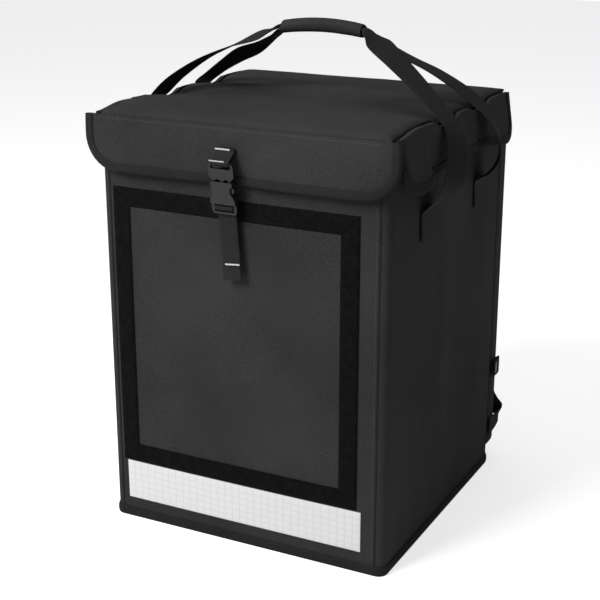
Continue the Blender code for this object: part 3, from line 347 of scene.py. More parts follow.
floor_finish, tree, shader = blank("studio_floor")
shader.inputs["Base Color"].default_value = (0.86, 0.86, 0.86, 1)
shader.inputs["Roughness"].default_value = 0.9
shader.inputs["Emission Color"].default_value = (1, 1, 1, 1)
glow = add(tree, "ShaderNodeLightPath").outputs["Is Camera Ray"]
tree.links.new(calc(tree, "MULTIPLY", glow, 0.66), shader.inputs["Emission Strength"])
floor.data.materials.append(floor_finish)
print("finishes:", [material.name for material in bpy.data.materials if material.use_nodes][-9:])


# %% [markdown]
# ## Making helpers
# Flat goods are cut from a roll. So each starts as a grid primitive of its real size, whose UV map
# is scaled to metres, and is then laid along its route or over its panel, like cloth on a form. A
# thickness is added last. The lid, the grip and the back cushion start from their CAD solids instead,
# and are swelled.

# %% Selecting and finishing
MADE = []


def only(item):
    """Selects one object and makes it active."""
    if bpy.context.mode != "OBJECT":
        bpy.ops.object.mode_set(mode="OBJECT")
    bpy.ops.object.select_all(action="DESELECT")
    item.select_set(True)
    bpy.context.view_layer.objects.active = item


def mark(item, test):
    """Selects the vertices at chosen places, with the edges and faces between them."""
    chosen = [bool(test(vertex.co)) for vertex in item.data.vertices]
    item.data.vertices.foreach_set("select", chosen)
    for group in (item.data.edges, item.data.polygons):
        group.foreach_set("select", [all(chosen[index] for index in piece.vertices) for piece in group])


def apply(item, kind, **settings):
    """Adds a modifier and applies it."""
    only(item)
    modifier = item.modifiers.new(kind.lower(), kind)
    for key, value in settings.items():
        setattr(modifier, key, value)
    bpy.ops.object.modifier_apply(modifier=modifier.name)


def finish(item, material, slot, *nodes):
    """Gives a piece its finish, parents it to the root and hides the CAD nodes that it stands for."""
    item.data.materials.clear()
    item.data.materials.append(material)
    bpy.context.view_layer.update()
    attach(item, "root")
    if nodes:
        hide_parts(*nodes)
    MADE.append(item)
    return item


def project_uv(item):
    """Unwraps by box projection, one UV unit to a metre."""
    only(item)
    bpy.ops.object.mode_set(mode="EDIT")
    bpy.ops.mesh.select_all(action="SELECT")
    bpy.ops.uv.cube_project(cube_size=1.0, correct_aspect=False, scale_to_bounds=False)
    bpy.ops.object.mode_set(mode="OBJECT")
    item.data.uv_layers[0].name = "UVMap"


def laid(name, columns, rows, place, flat, thickness=0.0, joined=False):
    """A grid cut to flat = (length, width) and laid by place(u, v), u and v from 0 to 1. joined
    closes it round v, as a folded band, and caps its ends."""
    bpy.ops.object.select_all(action="DESELECT")
    bpy.ops.mesh.primitive_grid_add(x_subdivisions=columns, y_subdivisions=rows, size=2, calc_uvs=True)
    item = bpy.context.object
    item.name = name
    mesh = item.data
    flat_places = np.zeros(len(mesh.vertices) * 3)
    mesh.vertices.foreach_get("co", flat_places)
    shares = (flat_places.reshape(-1, 3)[:, :2] + 1) / 2
    places = np.array([place(u, v) for u, v in shares])
    mesh.vertices.foreach_set("co", places.ravel())
    layer = mesh.uv_layers[0]
    layer.name = "UVMap"
    uv = np.zeros(len(layer.data) * 2)
    layer.data.foreach_get("uv", uv)
    layer.data.foreach_set("uv", (uv.reshape(-1, 2) * np.array(flat)).ravel())
    mesh.update()
    only(item)
    if joined:
        bpy.ops.object.mode_set(mode="EDIT")
        bpy.ops.mesh.select_all(action="SELECT")
        bpy.ops.mesh.remove_doubles(threshold=0.00001)
        bpy.ops.mesh.select_all(action="DESELECT")
        bpy.ops.mesh.select_non_manifold()
        bpy.ops.mesh.edge_face_add()
        bpy.ops.mesh.select_all(action="SELECT")
        bpy.ops.mesh.normals_make_consistent(inside=False)
        bpy.ops.object.mode_set(mode="OBJECT")
    if thickness:
        apply(item, "SOLIDIFY", thickness=thickness, offset=-1)
    only(item)
    bpy.ops.object.shade_smooth_by_angle(angle=math.radians(50))
    return item


def crumple(point, size, depth):
    """A slow random rise and fall, the same on every run."""
    return depth * noise.fractal(Vector(point) / size, 0.9, 2.0, 3)


# %% [markdown]
# A padded piece is swelled by a cloth simulation. A copy of its CAD solid is rebuilt in even
# squares, blown up a little with gravity off, and each point is then held to a cap, wide on the
# side that is free and narrow where the piece lies against its neighbours. One subdivision rounds it.

# %% Swelling a padded piece
def swelled(node, name, voxel, cap, free, shrink=0.0008, frames=14, pressure=4.0):
    """A padded piece made from a CAD solid. free is the direction in which it may stand proud."""
    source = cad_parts[node]
    item = bpy.data.objects.new(name, source.data.copy())
    bpy.context.scene.collection.objects.link(item)
    only(item)
    bpy.ops.object.mode_set(mode="EDIT")
    bpy.ops.mesh.select_all(action="SELECT")
    bpy.ops.mesh.remove_doubles(threshold=0.00002)
    bpy.ops.mesh.normals_make_consistent(inside=False)
    bpy.ops.object.mode_set(mode="OBJECT")
    item.data.remesh_voxel_size = voxel
    bpy.ops.object.voxel_remesh()
    count = len(item.data.vertices)
    rest = np.zeros(count * 3)
    item.data.vertices.foreach_get("co", rest)
    rest = rest.reshape(-1, 3)
    facing = np.array([v.normal for v in item.data.vertices])
    item.data.vertices.foreach_set("co", (rest - facing * shrink).ravel())
    item.data.update()
    puff = item.modifiers.new("puff", "CLOTH")
    puff.settings.quality = 5
    puff.settings.mass = 0.2
    puff.settings.tension_stiffness = 12
    puff.settings.compression_stiffness = 12
    puff.settings.shear_stiffness = 5
    puff.settings.bending_stiffness = 0.6
    puff.settings.use_pressure = True
    puff.settings.uniform_pressure_force = pressure
    puff.settings.effector_weights.gravity = 0
    puff.collision_settings.use_collision = False
    for step in range(1, frames + 1):
        bpy.context.scene.frame_set(step)
    only(item)
    bpy.ops.object.modifier_apply(modifier="puff")
    bpy.context.scene.frame_set(1)
    moved = np.zeros(count * 3)
    item.data.vertices.foreach_get("co", moved)
    shift = moved.reshape(-1, 3) - rest
    outward = (shift * facing).sum(1)
    side = shift - facing * outward[:, None]
    open_share = np.clip(facing @ np.array(free), 0, 1)
    outward = np.clip(outward, -0.002, 0.0001 + (cap - 0.0001) * open_share)
    reach = np.linalg.norm(side, axis=1)
    side *= np.minimum(1, 0.0012 / np.maximum(reach, 1e-9))[:, None] * open_share[:, None]
    item.data.vertices.foreach_set("co", (rest + facing * outward[:, None] + side).ravel())
    item.data.update()
    print(name, "swelled by up to", round(float(outward.max()) * 1000, 1), "mm")
    return item


def soften(item, rounds=2, level=1):
    """Evens out the squares, adds a subdivision and a UV map."""
    apply(item, "SMOOTH", factor=0.5, iterations=rounds)
    if level:
        apply(item, "SUBSURF", levels=level, render_levels=level)
    project_uv(item)
    only(item)
    bpy.ops.object.shade_smooth()
    return item


# %% [markdown]
# ## The shape of the bag
# These are the sizes and gentle curves that the CAD source used, so that flat goods can be laid on
# the same surfaces. A table row is one place along an edge, and values between rows are eased.

# %% Sizes and tables
GAP = 0.0003
HALF_WIDTH, HALF_DEPTH, BODY_HEIGHT = 0.200, 0.195, 0.5445
DEPTH = 0.390
CORNER_RADIUS = 0.012
FRONT_FLAP_HALF, FRONT_FLAP_DROP, FRONT_FLAP_RADIUS = 0.2154, 0.070, 0.045
SIDE_FLAP_HALF, SIDE_FLAP_DROP, SIDE_FLAP_RADIUS = 0.190, 0.066, 0.032
HALF_BINDING = 0.006
PANEL_CENTRE = -0.010
TAPE_WIDTH, FRAME_HALF_WIDTH, FRAME_HALF_HEIGHT, FRAME_BOTTOM = 0.025, 0.1725, 0.189, 0.0855
STRIP_WIDTH, STRIP_HEIGHT, STRIP_BOTTOM, STRIP_CENTRE = 0.3455, 0.055, 0.0288, -0.0045
BUCKLE_BAR_HEIGHT, BUCKLE_LENGTH, TAIL_LENGTH = 0.5136, 0.066, 0.082
NARROW_WEB = 0.025
LID_TOP = BODY_HEIGHT + GAP + 0.011
SEAM_TOP = LID_TOP - 0.0013
FLAP_FACE = 2 * GAP + 0.0012 + 0.006
STRAPS_SEAM = {"front": -0.106 * DEPTH, "rear": 0.199 * DEPTH}
STRAPS_PRESS = {"front": (-0.175 * DEPTH, 0.032), "rear": (0.218 * DEPTH, 0.0248)}
FRONT_FOLDS = (
    (-1.0, -0.5), (-0.7, 0.35), (-0.3, 0.3), (-0.13, -0.6), (-0.046, 0.05), (0.04, -0.6), (0.25, 0.35),
    (0.7, 0.4), (1.0, -0.5),
)
SIDE_OUT = ((-1.0, 0.75), (-0.72, 1.0), (-0.45, 0.7), (0.12, 0.85), (0.42, 0.3), (0.78, 0.65), (1.0, 0.5))
SIDE_LIFT = ((-1.0, 0.0), (-0.72, 0.0), (-0.45, 0.1), (0.12, 0.22), (0.42, 0.16), (0.78, 0.02), (1.0, 0.0))
SIDE_PUFF = ((-1.0, 0.2), (-0.72, 1.0), (-0.45, 0.7), (0.12, 0.35), (0.42, 0.2), (0.78, 0.35), (1.0, 0.1))
SIDE_WAVES = ((-1.0, 0.0), (-0.55, 0.45), (-0.11, 1.0), (0.25, 0.5), (0.62, 0.85), (1.0, 0.0))


def smooth(share):
    """A step from 0 to 1 with level ends."""
    share = min(1.0, max(0.0, share))
    return share * share * (3 - 2 * share)


def eased(rows, along):
    """The value at a place between the rows of a table."""
    if along <= rows[0][0]:
        return rows[0][1]
    for (a, low), (b, high) in zip(rows, rows[1:]):
        if along <= b:
            return low + (high - low) * smooth((along - a) / (b - a))
    return rows[-1][1]


def plateau(distance, half, fade):
    """1 within half of a place, easing to 0 over fade."""
    return 1 - smooth((abs(distance) - half) / fade)


# %% Surfaces of the bag
def front_face(x, z):
    return HALF_DEPTH + 0.0025 * (1 - (x / HALF_WIDTH) ** 2) * math.sin(math.pi * z / BODY_HEIGHT)


def side_face(y, z):
    return HALF_WIDTH + 0.0045 * eased(SIDE_WAVES, y / HALF_DEPTH) * math.sin(math.pi * z / BODY_HEIGHT)


def lid_wave(y):
    press = max(plateau(y - seam, 0.022, 0.024) for seam in STRAPS_SEAM.values())
    return 0.006 * eased(SIDE_PUFF, y / HALF_DEPTH) * (1 - press) - 0.0045 * press


def lid_top(x, y):
    across, along = abs(x) / HALF_WIDTH, abs(y) / HALF_DEPTH
    crown = 0.005 * (1 - across**4) * (1 - along**4)
    return LID_TOP + crown + lid_wave(y) * smooth((across - 0.45) / 0.55) * (1 - along**8)


def front_flap_face(x, z):
    drop = (SEAM_TOP - z) / FRONT_FLAP_DROP
    return HALF_DEPTH + FLAP_FACE + 0.005 * drop + 0.005 * eased(FRONT_FOLDS, x / FRONT_FLAP_HALF) * drop


def flap_press(y):
    return max(plateau(y - place, half, 0.020) for place, half in STRAPS_PRESS.values())


def side_flap_face(y, z):
    drop = max(0.0, (SEAM_TOP - z) / SIDE_FLAP_DROP)
    swell = eased(SIDE_OUT, y / HALF_DEPTH) * (1 - flap_press(y))
    return HALF_WIDTH + FLAP_FACE + 0.004 * drop + 0.014 * swell * drop**1.2


def side_seam(y):
    return SEAM_TOP + lid_wave(y) * (1 - (abs(y) / HALF_DEPTH) ** 8)


print(
    "lid at the middle", round(lid_top(0, 0), 4), "seam at the front strap",
    round(side_seam(STRAPS_SEAM["front"]), 4),
)

# %% [markdown]
# ## The box
# The real box is cloth over foam board: flat panels that give a little, with a seam down each
# corner. It could be lofted, but a cube is closer to how it is sewn. The cube is divided finely and
# its lid side is taken off. The columns of points are crowded toward the corners, which are then
# rounded. Last, the panels are pushed out along the gentle curves above, with a slow crumple so that
# no panel is dead flat.

# %% The box's cube
bpy.ops.object.select_all(action="DESELECT")
bpy.ops.mesh.primitive_cube_add(size=2)
box = bpy.context.object
box.name = "box_cloth"
only(box)
bpy.ops.object.mode_set(mode="EDIT")
bpy.ops.mesh.select_all(action="SELECT")
bpy.ops.mesh.subdivide(number_cuts=55)
bpy.ops.object.mode_set(mode="OBJECT")
mark(box, lambda place: place.z > 1 - 1e-5)
bpy.ops.object.mode_set(mode="EDIT")
bpy.ops.mesh.delete(type="FACE")
bpy.ops.object.mode_set(mode="OBJECT")


# %% The box's corners
def rounded_in_plan(x, y, radius=CORNER_RADIUS):
    """Pulls a point near a corner onto the corner's arc."""
    past = Vector((abs(x) - HALF_WIDTH + radius, abs(y) - HALF_DEPTH + radius))
    if min(past) <= 0:
        return x, y
    reach = max(past)
    spot = past.normalized() * reach
    return math.copysign(HALF_WIDTH - radius + spot.x, x), math.copysign(HALF_DEPTH - radius + spot.y, y)


for vertex in box.data.vertices:
    x, y, z = vertex.co
    x, y = HALF_WIDTH * math.sin(math.pi / 2 * x), HALF_DEPTH * math.sin(math.pi / 2 * y)
    vertex.co = (*rounded_in_plan(x, y), BODY_HEIGHT * (z + 1) / 2)

# %% The box's panels
for vertex in box.data.vertices:
    x, y, z = vertex.co
    calm = smooth(z / 0.05) * smooth((BODY_HEIGHT - z) / 0.03)
    dent = min(0.0, crumple((x * 1.3, y * 1.3, z), 0.16, 0.0014)) * calm
    if abs(abs(x) - HALF_WIDTH) < 1e-4:
        away = smooth((HALF_DEPTH - CORNER_RADIUS - abs(y)) / 0.04)
        ridge = 0.0016 * plateau(y + 0.0235, 0.004, 0.030) * calm
        vertex.co.x = math.copysign(side_face(y, z) + (dent + ridge - 0.0004) * away, x)
    if abs(abs(y) - HALF_DEPTH) < 1e-4:
        away = smooth((HALF_WIDTH - CORNER_RADIUS - abs(x)) / 0.04)
        face = front_face(x, z) if y < 0 else HALF_DEPTH
        vertex.co.y = math.copysign(face + 0.5 * dent * away - 0.0001, y)
only(box)
bpy.ops.object.mode_set(mode="EDIT")
bpy.ops.mesh.select_all(action="SELECT")
bpy.ops.mesh.normals_make_consistent(inside=False)
bpy.ops.object.mode_set(mode="OBJECT")
apply(box, "SOLIDIFY", thickness=0.0098, offset=-1)
for vertex in box.data.vertices:
    vertex.co.z = abs(vertex.co.z)
project_uv(box)
only(box)
bpy.ops.object.shade_smooth_by_angle(angle=math.radians(40))
finish(box, box_cloth, "cloth", "body_shell")
print("box", len(box.data.polygons), "faces")

# %% [markdown]
# A narrow seam ridge runs down each front corner, where the side panel's edge is turned in and
# stitched. It is a narrow raised band laid down the panel.

# %% Corner seams
def corner_seam(name, side):
    """A turned seam on the front panel, beside a corner."""
    x = side * (HALF_WIDTH - 0.0125)
    profile = ((-0.0016, 0.0), (-0.0009, 0.0006), (0.0, 0.0008), (0.0009, 0.0006), (0.0016, 0.0))

    def place(u, v):
        across, out = profile[min(4, round(v * 4))]
        z = 0.014 + 0.528 * u
        return (x + across, -front_face(x + across, z) - out - 0.0001, z)

    item = laid(name, 60, 4, place, (0.528, 0.0034), 0.0)
    return finish(item, binding_finish, "binding_tape")


for side, word in ((-1, "left"), (1, "right")):
    corner_seam("corner_seam_" + word, side)

# %% [markdown]
# ## Binding at the foot
# A tape is folded round the seam between the base and the walls. One loop of tape goes all the way
# round, so the grid is laid round a rounded rectangle and its two ends are merged.

# %% The foot's tape
def round_corner_loop(share, grow, radius):
    """A point on a rounded rectangle round the bag, by its share of the way round."""
    half_x, half_y = HALF_WIDTH + grow, HALF_DEPTH + grow
    flat_x, flat_y, arc = 2 * (half_x - radius), 2 * (half_y - radius), math.pi * radius / 2
    way = share * (2 * flat_x + 2 * flat_y + 4 * arc)
    corners = ((1, -1, flat_x), (1, 1, flat_y), (-1, 1, flat_x), (-1, -1, flat_y))
    for turn, (sx, sy, length) in enumerate(corners):
        heading = math.radians(90 * turn)
        ahead = Vector((math.cos(heading), math.sin(heading)))
        middle = Vector((sx * (half_x - radius), sy * (half_y - radius)))
        if way <= length:
            return middle - ahead * (length - way) + Vector((ahead.y, -ahead.x)) * radius
        way -= length
        if way <= arc:
            angle = heading - math.pi / 2 + way / radius
            return middle + radius * Vector((math.cos(angle), math.sin(angle)))
        way -= arc
    return round_corner_loop(0.0, grow, radius)


def foot_place(u, v):
    rise = 0.0128 * v
    proud = 0.0009 * math.sin(math.pi * v) ** 0.5
    spot = round_corner_loop(u, 0.0010 + proud, CORNER_RADIUS + proud)
    return (spot.x, spot.y, 0.0002 + rise)


foot = laid("foot_binding", 280, 6, foot_place, (1.56, 0.013))
only(foot)
bpy.ops.object.mode_set(mode="EDIT")
bpy.ops.mesh.select_all(action="SELECT")
bpy.ops.mesh.remove_doubles(threshold=0.00005)
bpy.ops.object.mode_set(mode="OBJECT")
apply(foot, "SOLIDIFY", thickness=0.0007, offset=-1)
finish(foot, binding_finish, "binding_tape", "base_binding")

# %% [markdown]
# ## The lid
# Foam between two cloths: it swells between its seams and is pulled down where the straps cross its
# edges. The CAD solid already holds those rises and dips, so the simulation only has to round it.

# %% Lid panel
lid = swelled("lid_panel", "lid_cloth", 0.0050, 0.0032, (0, 0, 1))
for vertex in lid.data.vertices:
    x, y, z = vertex.co
    if z > LID_TOP - 0.008:
        inside = smooth((HALF_WIDTH - abs(x)) / 0.03) * smooth((HALF_DEPTH - abs(y)) / 0.03)
        vertex.co.z += (crumple((x, y, 0.3), 0.11, 0.0022) - 0.0006) * inside
soften(lid, 3, 1)
finish(lid, box_cloth, "cloth", "lid_panel")

# %% [markdown]
# The lid's sides and back are finished with a narrow piping, a tape folded round the seam where the
# lid's top meets its side flaps and hinge. It rises and dips with the edge.

# %% Lid piping
def band(name, stations, material, slot, nodes=(), sides=10):
    """A closed tube of cloth or webbing along stations (place, across, width, thickness)."""
    places = [Vector(s[0]) for s in stations]
    last = len(places) - 1
    lengths = [0.0]
    for a, b in zip(places, places[1:]):
        lengths.append(lengths[-1] + (b - a).length)
    total = lengths[-1]
    frames = []
    for index in range(last + 1):
        way = (places[min(last, index + 1)] - places[max(0, index - 1)]).normalized()
        across = Vector(stations[index][1])
        across = (across - way * across.dot(way)).normalized()
        frames.append((across, way.cross(across)))
    rim = 2 * (max(s[2] for s in stations) + max(s[3] for s in stations))

    def place(u, v):
        index = round(u * last)
        across, out = frames[index]
        width, thick = stations[index][2], stations[index][3]
        angle = 2 * math.pi * (1 - v)
        c, s = math.cos(angle), math.sin(angle)
        flat = math.copysign(abs(c) ** 0.22, c), math.copysign(abs(s) ** 0.9, s)
        return places[index] + across * flat[0] * width / 2 + out * flat[1] * thick / 2

    item = laid(name, last, sides, place, (total, rim), joined=True)
    return finish(item, material, slot, *nodes)


edge = []
PIPING_STEPS = 160
for step in range(PIPING_STEPS + 1):
    spot = round_corner_loop((0.30 + 0.65 * step / PIPING_STEPS) % 1.0, -0.0004, 0.006)
    along = (abs(spot.y) / HALF_DEPTH) ** 8
    beside = smooth((abs(spot.x) / HALF_WIDTH - 0.45) / 0.55)
    rise = lid_wave(spot.y) * beside * (1 - along)
    edge.append(((spot.x, spot.y, LID_TOP + rise + 0.0002), (0, 0, 1), 0.0024, 0.0022))
band("lid_piping", edge, binding_finish, "binding_tape", sides=8)
print("lid", [round(x, 4) for x in lid.dimensions])

# %% [markdown]
# The cloth hinge is a plain strip sewn along the lid's back seam and the top of the back panel. It is
# a flat grid with a little ripple, given its thickness last.

# %% Lid hinge
def hinge_place(u, v):
    ripple = crumple((u * 0.38, 0.0, v * 0.02), 0.05, 0.0003)
    return (0.190 - 0.380 * u, HALF_DEPTH + 0.0016 + ripple, 0.5330 + 0.0230 * v)


hinge = laid("lid_hinge_cloth", 90, 6, hinge_place, (0.380, 0.023), 0.0008)
finish(hinge, box_cloth, "cloth", "lid_hinge")

# %% [markdown]
# ## The lid's flaps
# Each flap is a thin pad, a D shape with its free edge bound in tape. The cloth is laid from the seam
# down to the middle of the tape, and bulges a little between the seams. The tape is one strip folded
# round the edge: a row of the table below is a place across the tape, from its stitched inner edge on
# the front, round the rim, to the back.

# %% Outline of a flap
TAPE_FOLD = (
    (-1.0, 0.0003), (-0.92, 0.0010), (-0.6, 0.0012), (-0.1, 0.00125), (0.35, 0.0012), (0.68, 0.0008),
    (0.9, -0.0004), (1.0, -0.0022), (1.0, -0.0038), (0.9, -0.0056), (0.68, -0.0067), (0.1, -0.0071),
    (-1.0, -0.0070),
)


def flap_path(half, hem, radius, inset, straight, top):
    """Places down one end, along the hem and up the other: along, height and the turn of the edge."""
    arc = 10
    ends = []
    start = -half + inset
    for step in range(3):
        ends.append((start, top(start) - 0.0005 - (top(start) - hem - radius) * step / 3, -math.pi / 2))
    for step in range(arc + 1):
        angle = math.radians(90 * (1 - step / arc))
        along = -(half - radius) - (radius - inset) * math.sin(angle)
        ends.append((along, hem + radius - (radius - inset) * math.cos(angle), -angle))
    hem_row = [
        ((half - radius) * (2 * step / straight - 1), hem + inset, 0.0) for step in range(1, straight)
    ]
    other = [(-along, height, -angle) for along, height, angle in reversed(ends)]
    for step in range(3):
        along = half - inset
        other[len(other) - 1 - step] = (
            along, top(along) - 0.0005 - (top(along) - hem - radius) * step / 3, math.pi / 2
        )
    return ends + hem_row + other


def make_flap(name, half, hem, radius, straight, face, top, lift, world, nodes):
    """A padded flap and the tape round its free edge."""
    def lifted(along, z):
        return z + lift(along) * (top(along) - z) / (top(along) - hem)

    def skin(along, z):
        return face(along, z) + crumple((along, 0.4 + half, z), 0.035, 0.0007)

    def cloth_place(u, v):
        along = (half - HALF_BINDING) * (2 * u - 1)
        past = max(0.0, abs(along) - (half - radius))
        low = lifted(along, hem + radius - math.sqrt(max(0.0, (radius - HALF_BINDING) ** 2 - past**2)))
        z = low + (top(along) - low) * v
        pad = math.sin(math.pi * v) ** 0.7 * smooth((1 - abs(2 * u - 1)) * 12)
        return world(along, skin(along, z) + 0.0009 * pad - 0.0004, z)

    cloth = laid(
        name + "_cloth", 3 * straight, 18, cloth_place,
        (2 * half - 2 * HALF_BINDING, top(0) - hem - HALF_BINDING), 0.0052,
    )
    finish(cloth, box_cloth, "cloth", name)

    path = flap_path(half, hem, radius, HALF_BINDING, straight, top)[::-1]

    def tape_place(u, v):
        along, low, angle = path[round(u * (len(path) - 1))]
        share, out = TAPE_FOLD[round(v * (len(TAPE_FOLD) - 1))]
        a = along + share * HALF_BINDING * math.sin(angle)
        z = low - share * HALF_BINDING * math.cos(angle)
        if abs(angle) < math.pi / 2 - 1e-6 or low < top(along) - 0.012:
            z = lifted(a, z)
        step = 0.0005
        lean = (skin(a + step, z) - skin(a - step, z)) / (2 * step)
        tilt = (skin(a, z + step) - skin(a, z - step)) / (2 * step)
        normal = Vector((-lean, 1, -tilt)).normalized() * out
        return world(a + normal.x, skin(a, z) + normal.y, z + normal.z)

    length = sum(math.dist(a[:2], b[:2]) for a, b in zip(path, path[1:]))
    tape = laid(name + "_tape", len(path) - 1, len(TAPE_FOLD) - 1, tape_place, (length, 0.032), 0.0006)
    finish(tape, binding_finish, "binding_tape", name + "_binding")
    return cloth


# %% Front and side flaps
make_flap(
    "front_flap", FRONT_FLAP_HALF, SEAM_TOP - FRONT_FLAP_DROP, FRONT_FLAP_RADIUS, 60,
    front_flap_face, lambda x: SEAM_TOP, lambda x: 0.0,
    lambda along, out, z: Vector((along, -out, z)), "front_flap",
)
for side, word in ((1, "right"), (-1, "left")):
    make_flap(
        "side_flap_" + word, SIDE_FLAP_HALF, SEAM_TOP - SIDE_FLAP_DROP, SIDE_FLAP_RADIUS, 60,
        lambda along, z, s=side: side_flap_face(s * along, z),
        lambda along, s=side: side_seam(s * along),
        lambda along, s=side: SIDE_FLAP_DROP * eased(SIDE_LIFT, s * along / HALF_DEPTH),
        lambda along, out, z, s=side: Vector((s * out, s * along, z)), "side_flap_" + word,
    )
print("flaps made:", [item.name for item in MADE if "flap" in item.name])

# %% [markdown]
# ## Loop tape and reflective tape
# The frame on the front panel is four lengths of loop tape cut to 45 degrees at their ends. The
# surface of the pile is uneven, so the fine grid is pushed in and out a little before the fuzz of the
# finish. The reflective tape under it lies smooth, with its long edges pressed down by stitching.

# %% Loop tape frame
TAPE_SIDES = (
    ("top", FRAME_HALF_WIDTH, FRAME_HALF_HEIGHT, 0, 1),
    ("bottom", FRAME_HALF_WIDTH, FRAME_HALF_HEIGHT, 0, -1),
    ("left", FRAME_HALF_HEIGHT, FRAME_HALF_WIDTH, -1, 0),
    ("right", FRAME_HALF_HEIGHT, FRAME_HALF_WIDTH, 1, 0),
)
for word, half_length, reach, side, up in TAPE_SIDES:
    def tape_place(u, v):
        inset = TAPE_WIDTH * v
        along = (half_length - inset - GAP) * (2 * u - 1)
        away = reach - inset
        x = PANEL_CENTRE + (side * away if side else up * -along)
        z = FRAME_BOTTOM + FRAME_HALF_HEIGHT + (up * away if up else side * along)
        edge = smooth(min(v, 1 - v) * 9)
        pile = 0.0016 * edge + 0.00035 * noise.noise(Vector((x, 0, z)) * 420)
        return (x, -front_face(x, z) - 0.0005 - pile, z)

    cut = (2 * half_length, TAPE_WIDTH)
    tape = laid("loop_tape_pile_" + word, 210, 18, tape_place, cut, 0.0004)
    finish(tape, loop_finish, "loop_tape", "loop_tape_" + word)

# %% Reflective tape
def strip_place(u, v):
    x = STRIP_CENTRE + STRIP_WIDTH * (u - 0.5)
    z = STRIP_BOTTOM + STRIP_HEIGHT * v
    edge = smooth(min(v, 1 - v) * 24) * smooth(min(u, 1 - u) * 120)
    ripple = crumple((x, 0.7, z), 0.05, 0.0003) * edge
    return (x, -front_face(x, z) - 0.0005 - 0.0005 * edge - abs(ripple), z)


strip = laid("reflective_tape", 170, 30, strip_place, (STRIP_WIDTH, STRIP_HEIGHT), 0.0004)
finish(strip, reflective_finish, "reflective", "reflective_strip")

# %% [markdown]
# ## Webbing
# Straps are flat bands swept along a route. A route is a list of stations, each with a place, the
# direction of the band's width, a turn about the band, its width and its thickness. A smooth curve
# runs through them. The handle straps rise beside the bag, cross the lid's seam, lean together and
# are folded narrow inside the grip.

# %% Routes
Station = namedtuple("Station", "place across turn width thickness")
HANDLES = {"front": (-0.106, -0.224, 1), "rear": (0.199, 0.250, -1)}
LEGS = {
    ("front", 1): (0.03, 4, 14, 20), ("front", -1): (0.14, -6, 4, 18),
    ("rear", 1): (0.08, 0, -6, 0), ("rear", -1): (0.03, -9, -24, -4),
}
HANGS = (
    (0.06, 0.16, 0.02, 0), (0.18, 0.62, 0.10, 10), (0.36, 0.96, 0.28, 20),
    (0.58, 1.00, 0.52, 20), (0.78, 0.78, 0.76, 12), (0.93, 0.46, 0.93, 3),
)
GRIP_CENTRE = Vector((0.014, 0.0075, 0.648))
GRIP_HALF = 0.058
WEB, THICK, FOLDED, FOLDED_THICK = 0.040, 0.0018, 0.0160, 0.0042
SEWN = (0.4156, 0.4326, 0.4496)


def spline_value(before, low, high, after, step):
    """A smooth curve from low to high."""
    return 0.5 * (
        2 * low + (high - before) * step + (2 * before - 5 * low + 4 * high - after) * step**2
        + (3 * low - before - 3 * high + after) * step**3
    )


def smooth_route(stations, steps):
    """The same route with more stations."""
    route = []
    last = len(stations) - 1
    for index in range(last):
        four = [stations[min(last, max(0, index + k))] for k in (-1, 0, 1, 2)]
        for step in range(steps):
            share = step / steps
            values = [
                spline_value(*(getattr(s, field) for s in four), share)
                for field in ("place", "across", "turn")
            ]
            sizes = [
                getattr(four[1], f) + (getattr(four[2], f) - getattr(four[1], f)) * smooth(share)
                for f in ("width", "thickness")
            ]
            route.append(Station(*values, *sizes))
    route.append(stations[-1])
    return route


def turned(route):
    """Stations as (place, across, width, thickness), with each turn worked into across."""
    result = []
    last = len(route) - 1
    for index, station in enumerate(route):
        way = (route[min(last, index + 1)].place - route[max(0, index - 1)].place).normalized()
        across = (station.across - way * station.across.dot(way)).normalized()
        across = Matrix.Rotation(math.radians(station.turn), 3, way) @ across
        result.append((station.place, across, station.width, station.thickness))
    return result


def handle_side(name, side):
    """From the sewn end up to the lid's seam."""
    seam, sewn = (share * DEPTH for share in HANDLES[name][:2])
    across = Vector((0, 1, 0))
    shares = (-1, -0.5, 0, 0.5, 1)

    def on_panel(z):
        return max(side_face(sewn + share * WEB / 2, z) for share in shares) + 2 * GAP + THICK / 2

    stations = [Station(Vector((side * on_panel(z), sewn, z)), across, 0, WEB, THICK) for z in SEWN]
    climb = rest_height(seam) - SEWN[-1]
    for rise, out, lean, turn in HANGS:
        along, up = sewn + (seam - sewn) * lean, SEWN[-1] + climb * rise
        place = Vector((side * (on_panel(SEWN[-1]) + 0.028 * out), along, up))
        stations.append(Station(place, across, -turn * (1 if seam < 0 else -1), WEB, THICK))
    return stations


def rest_height(y):
    """The middle of a strap that lies on the lid's side seam."""
    tops = [lid_top(HALF_WIDTH, y + share * WEB / 2) for share in (-1, -0.5, 0, 0.5, 1)]
    return max(tops) + GAP + THICK / 2


def handle_leg(name, side):
    """From the lid's seam to the grip."""
    bow, at_seam, at_middle, at_grip = LEGS[(name, side)]
    y, layer = HANDLES[name][0] * DEPTH, HANDLES[name][2]
    across = Vector((0, 1, 0))
    tilt = math.sin(math.radians(abs(at_seam))) * WEB / 2
    start = Vector((side * (HALF_WIDTH + FLAP_FACE - THICK), y, rest_height(y) + tilt + 7 * GAP))
    end = GRIP_CENTRE + Vector((side * GRIP_HALF, 0, layer * (FOLDED_THICK + 3 * GAP) / 2))
    stations = [Station(start, across, -at_seam, WEB, THICK)]
    for share, turn in (
        (0.14, at_seam), (0.36, (at_seam + at_middle) / 2), (0.58, at_middle), (0.80, at_grip)
    ):
        rise = bow * (GRIP_CENTRE.z - LID_TOP) * 6.75 * share * (1 - share) ** 2 + layer * 0.0015 * share
        stations.append(Station(start.lerp(end, share) + Vector((0, 0, rise)), across, -turn, WEB, THICK))
    place = start.lerp(end, 0.91) + Vector((0, 0, layer * 0.0015))
    stations.append(Station(place, across, -at_grip * 0.4, (WEB + FOLDED) / 2, (THICK + FOLDED_THICK) / 2))
    return stations


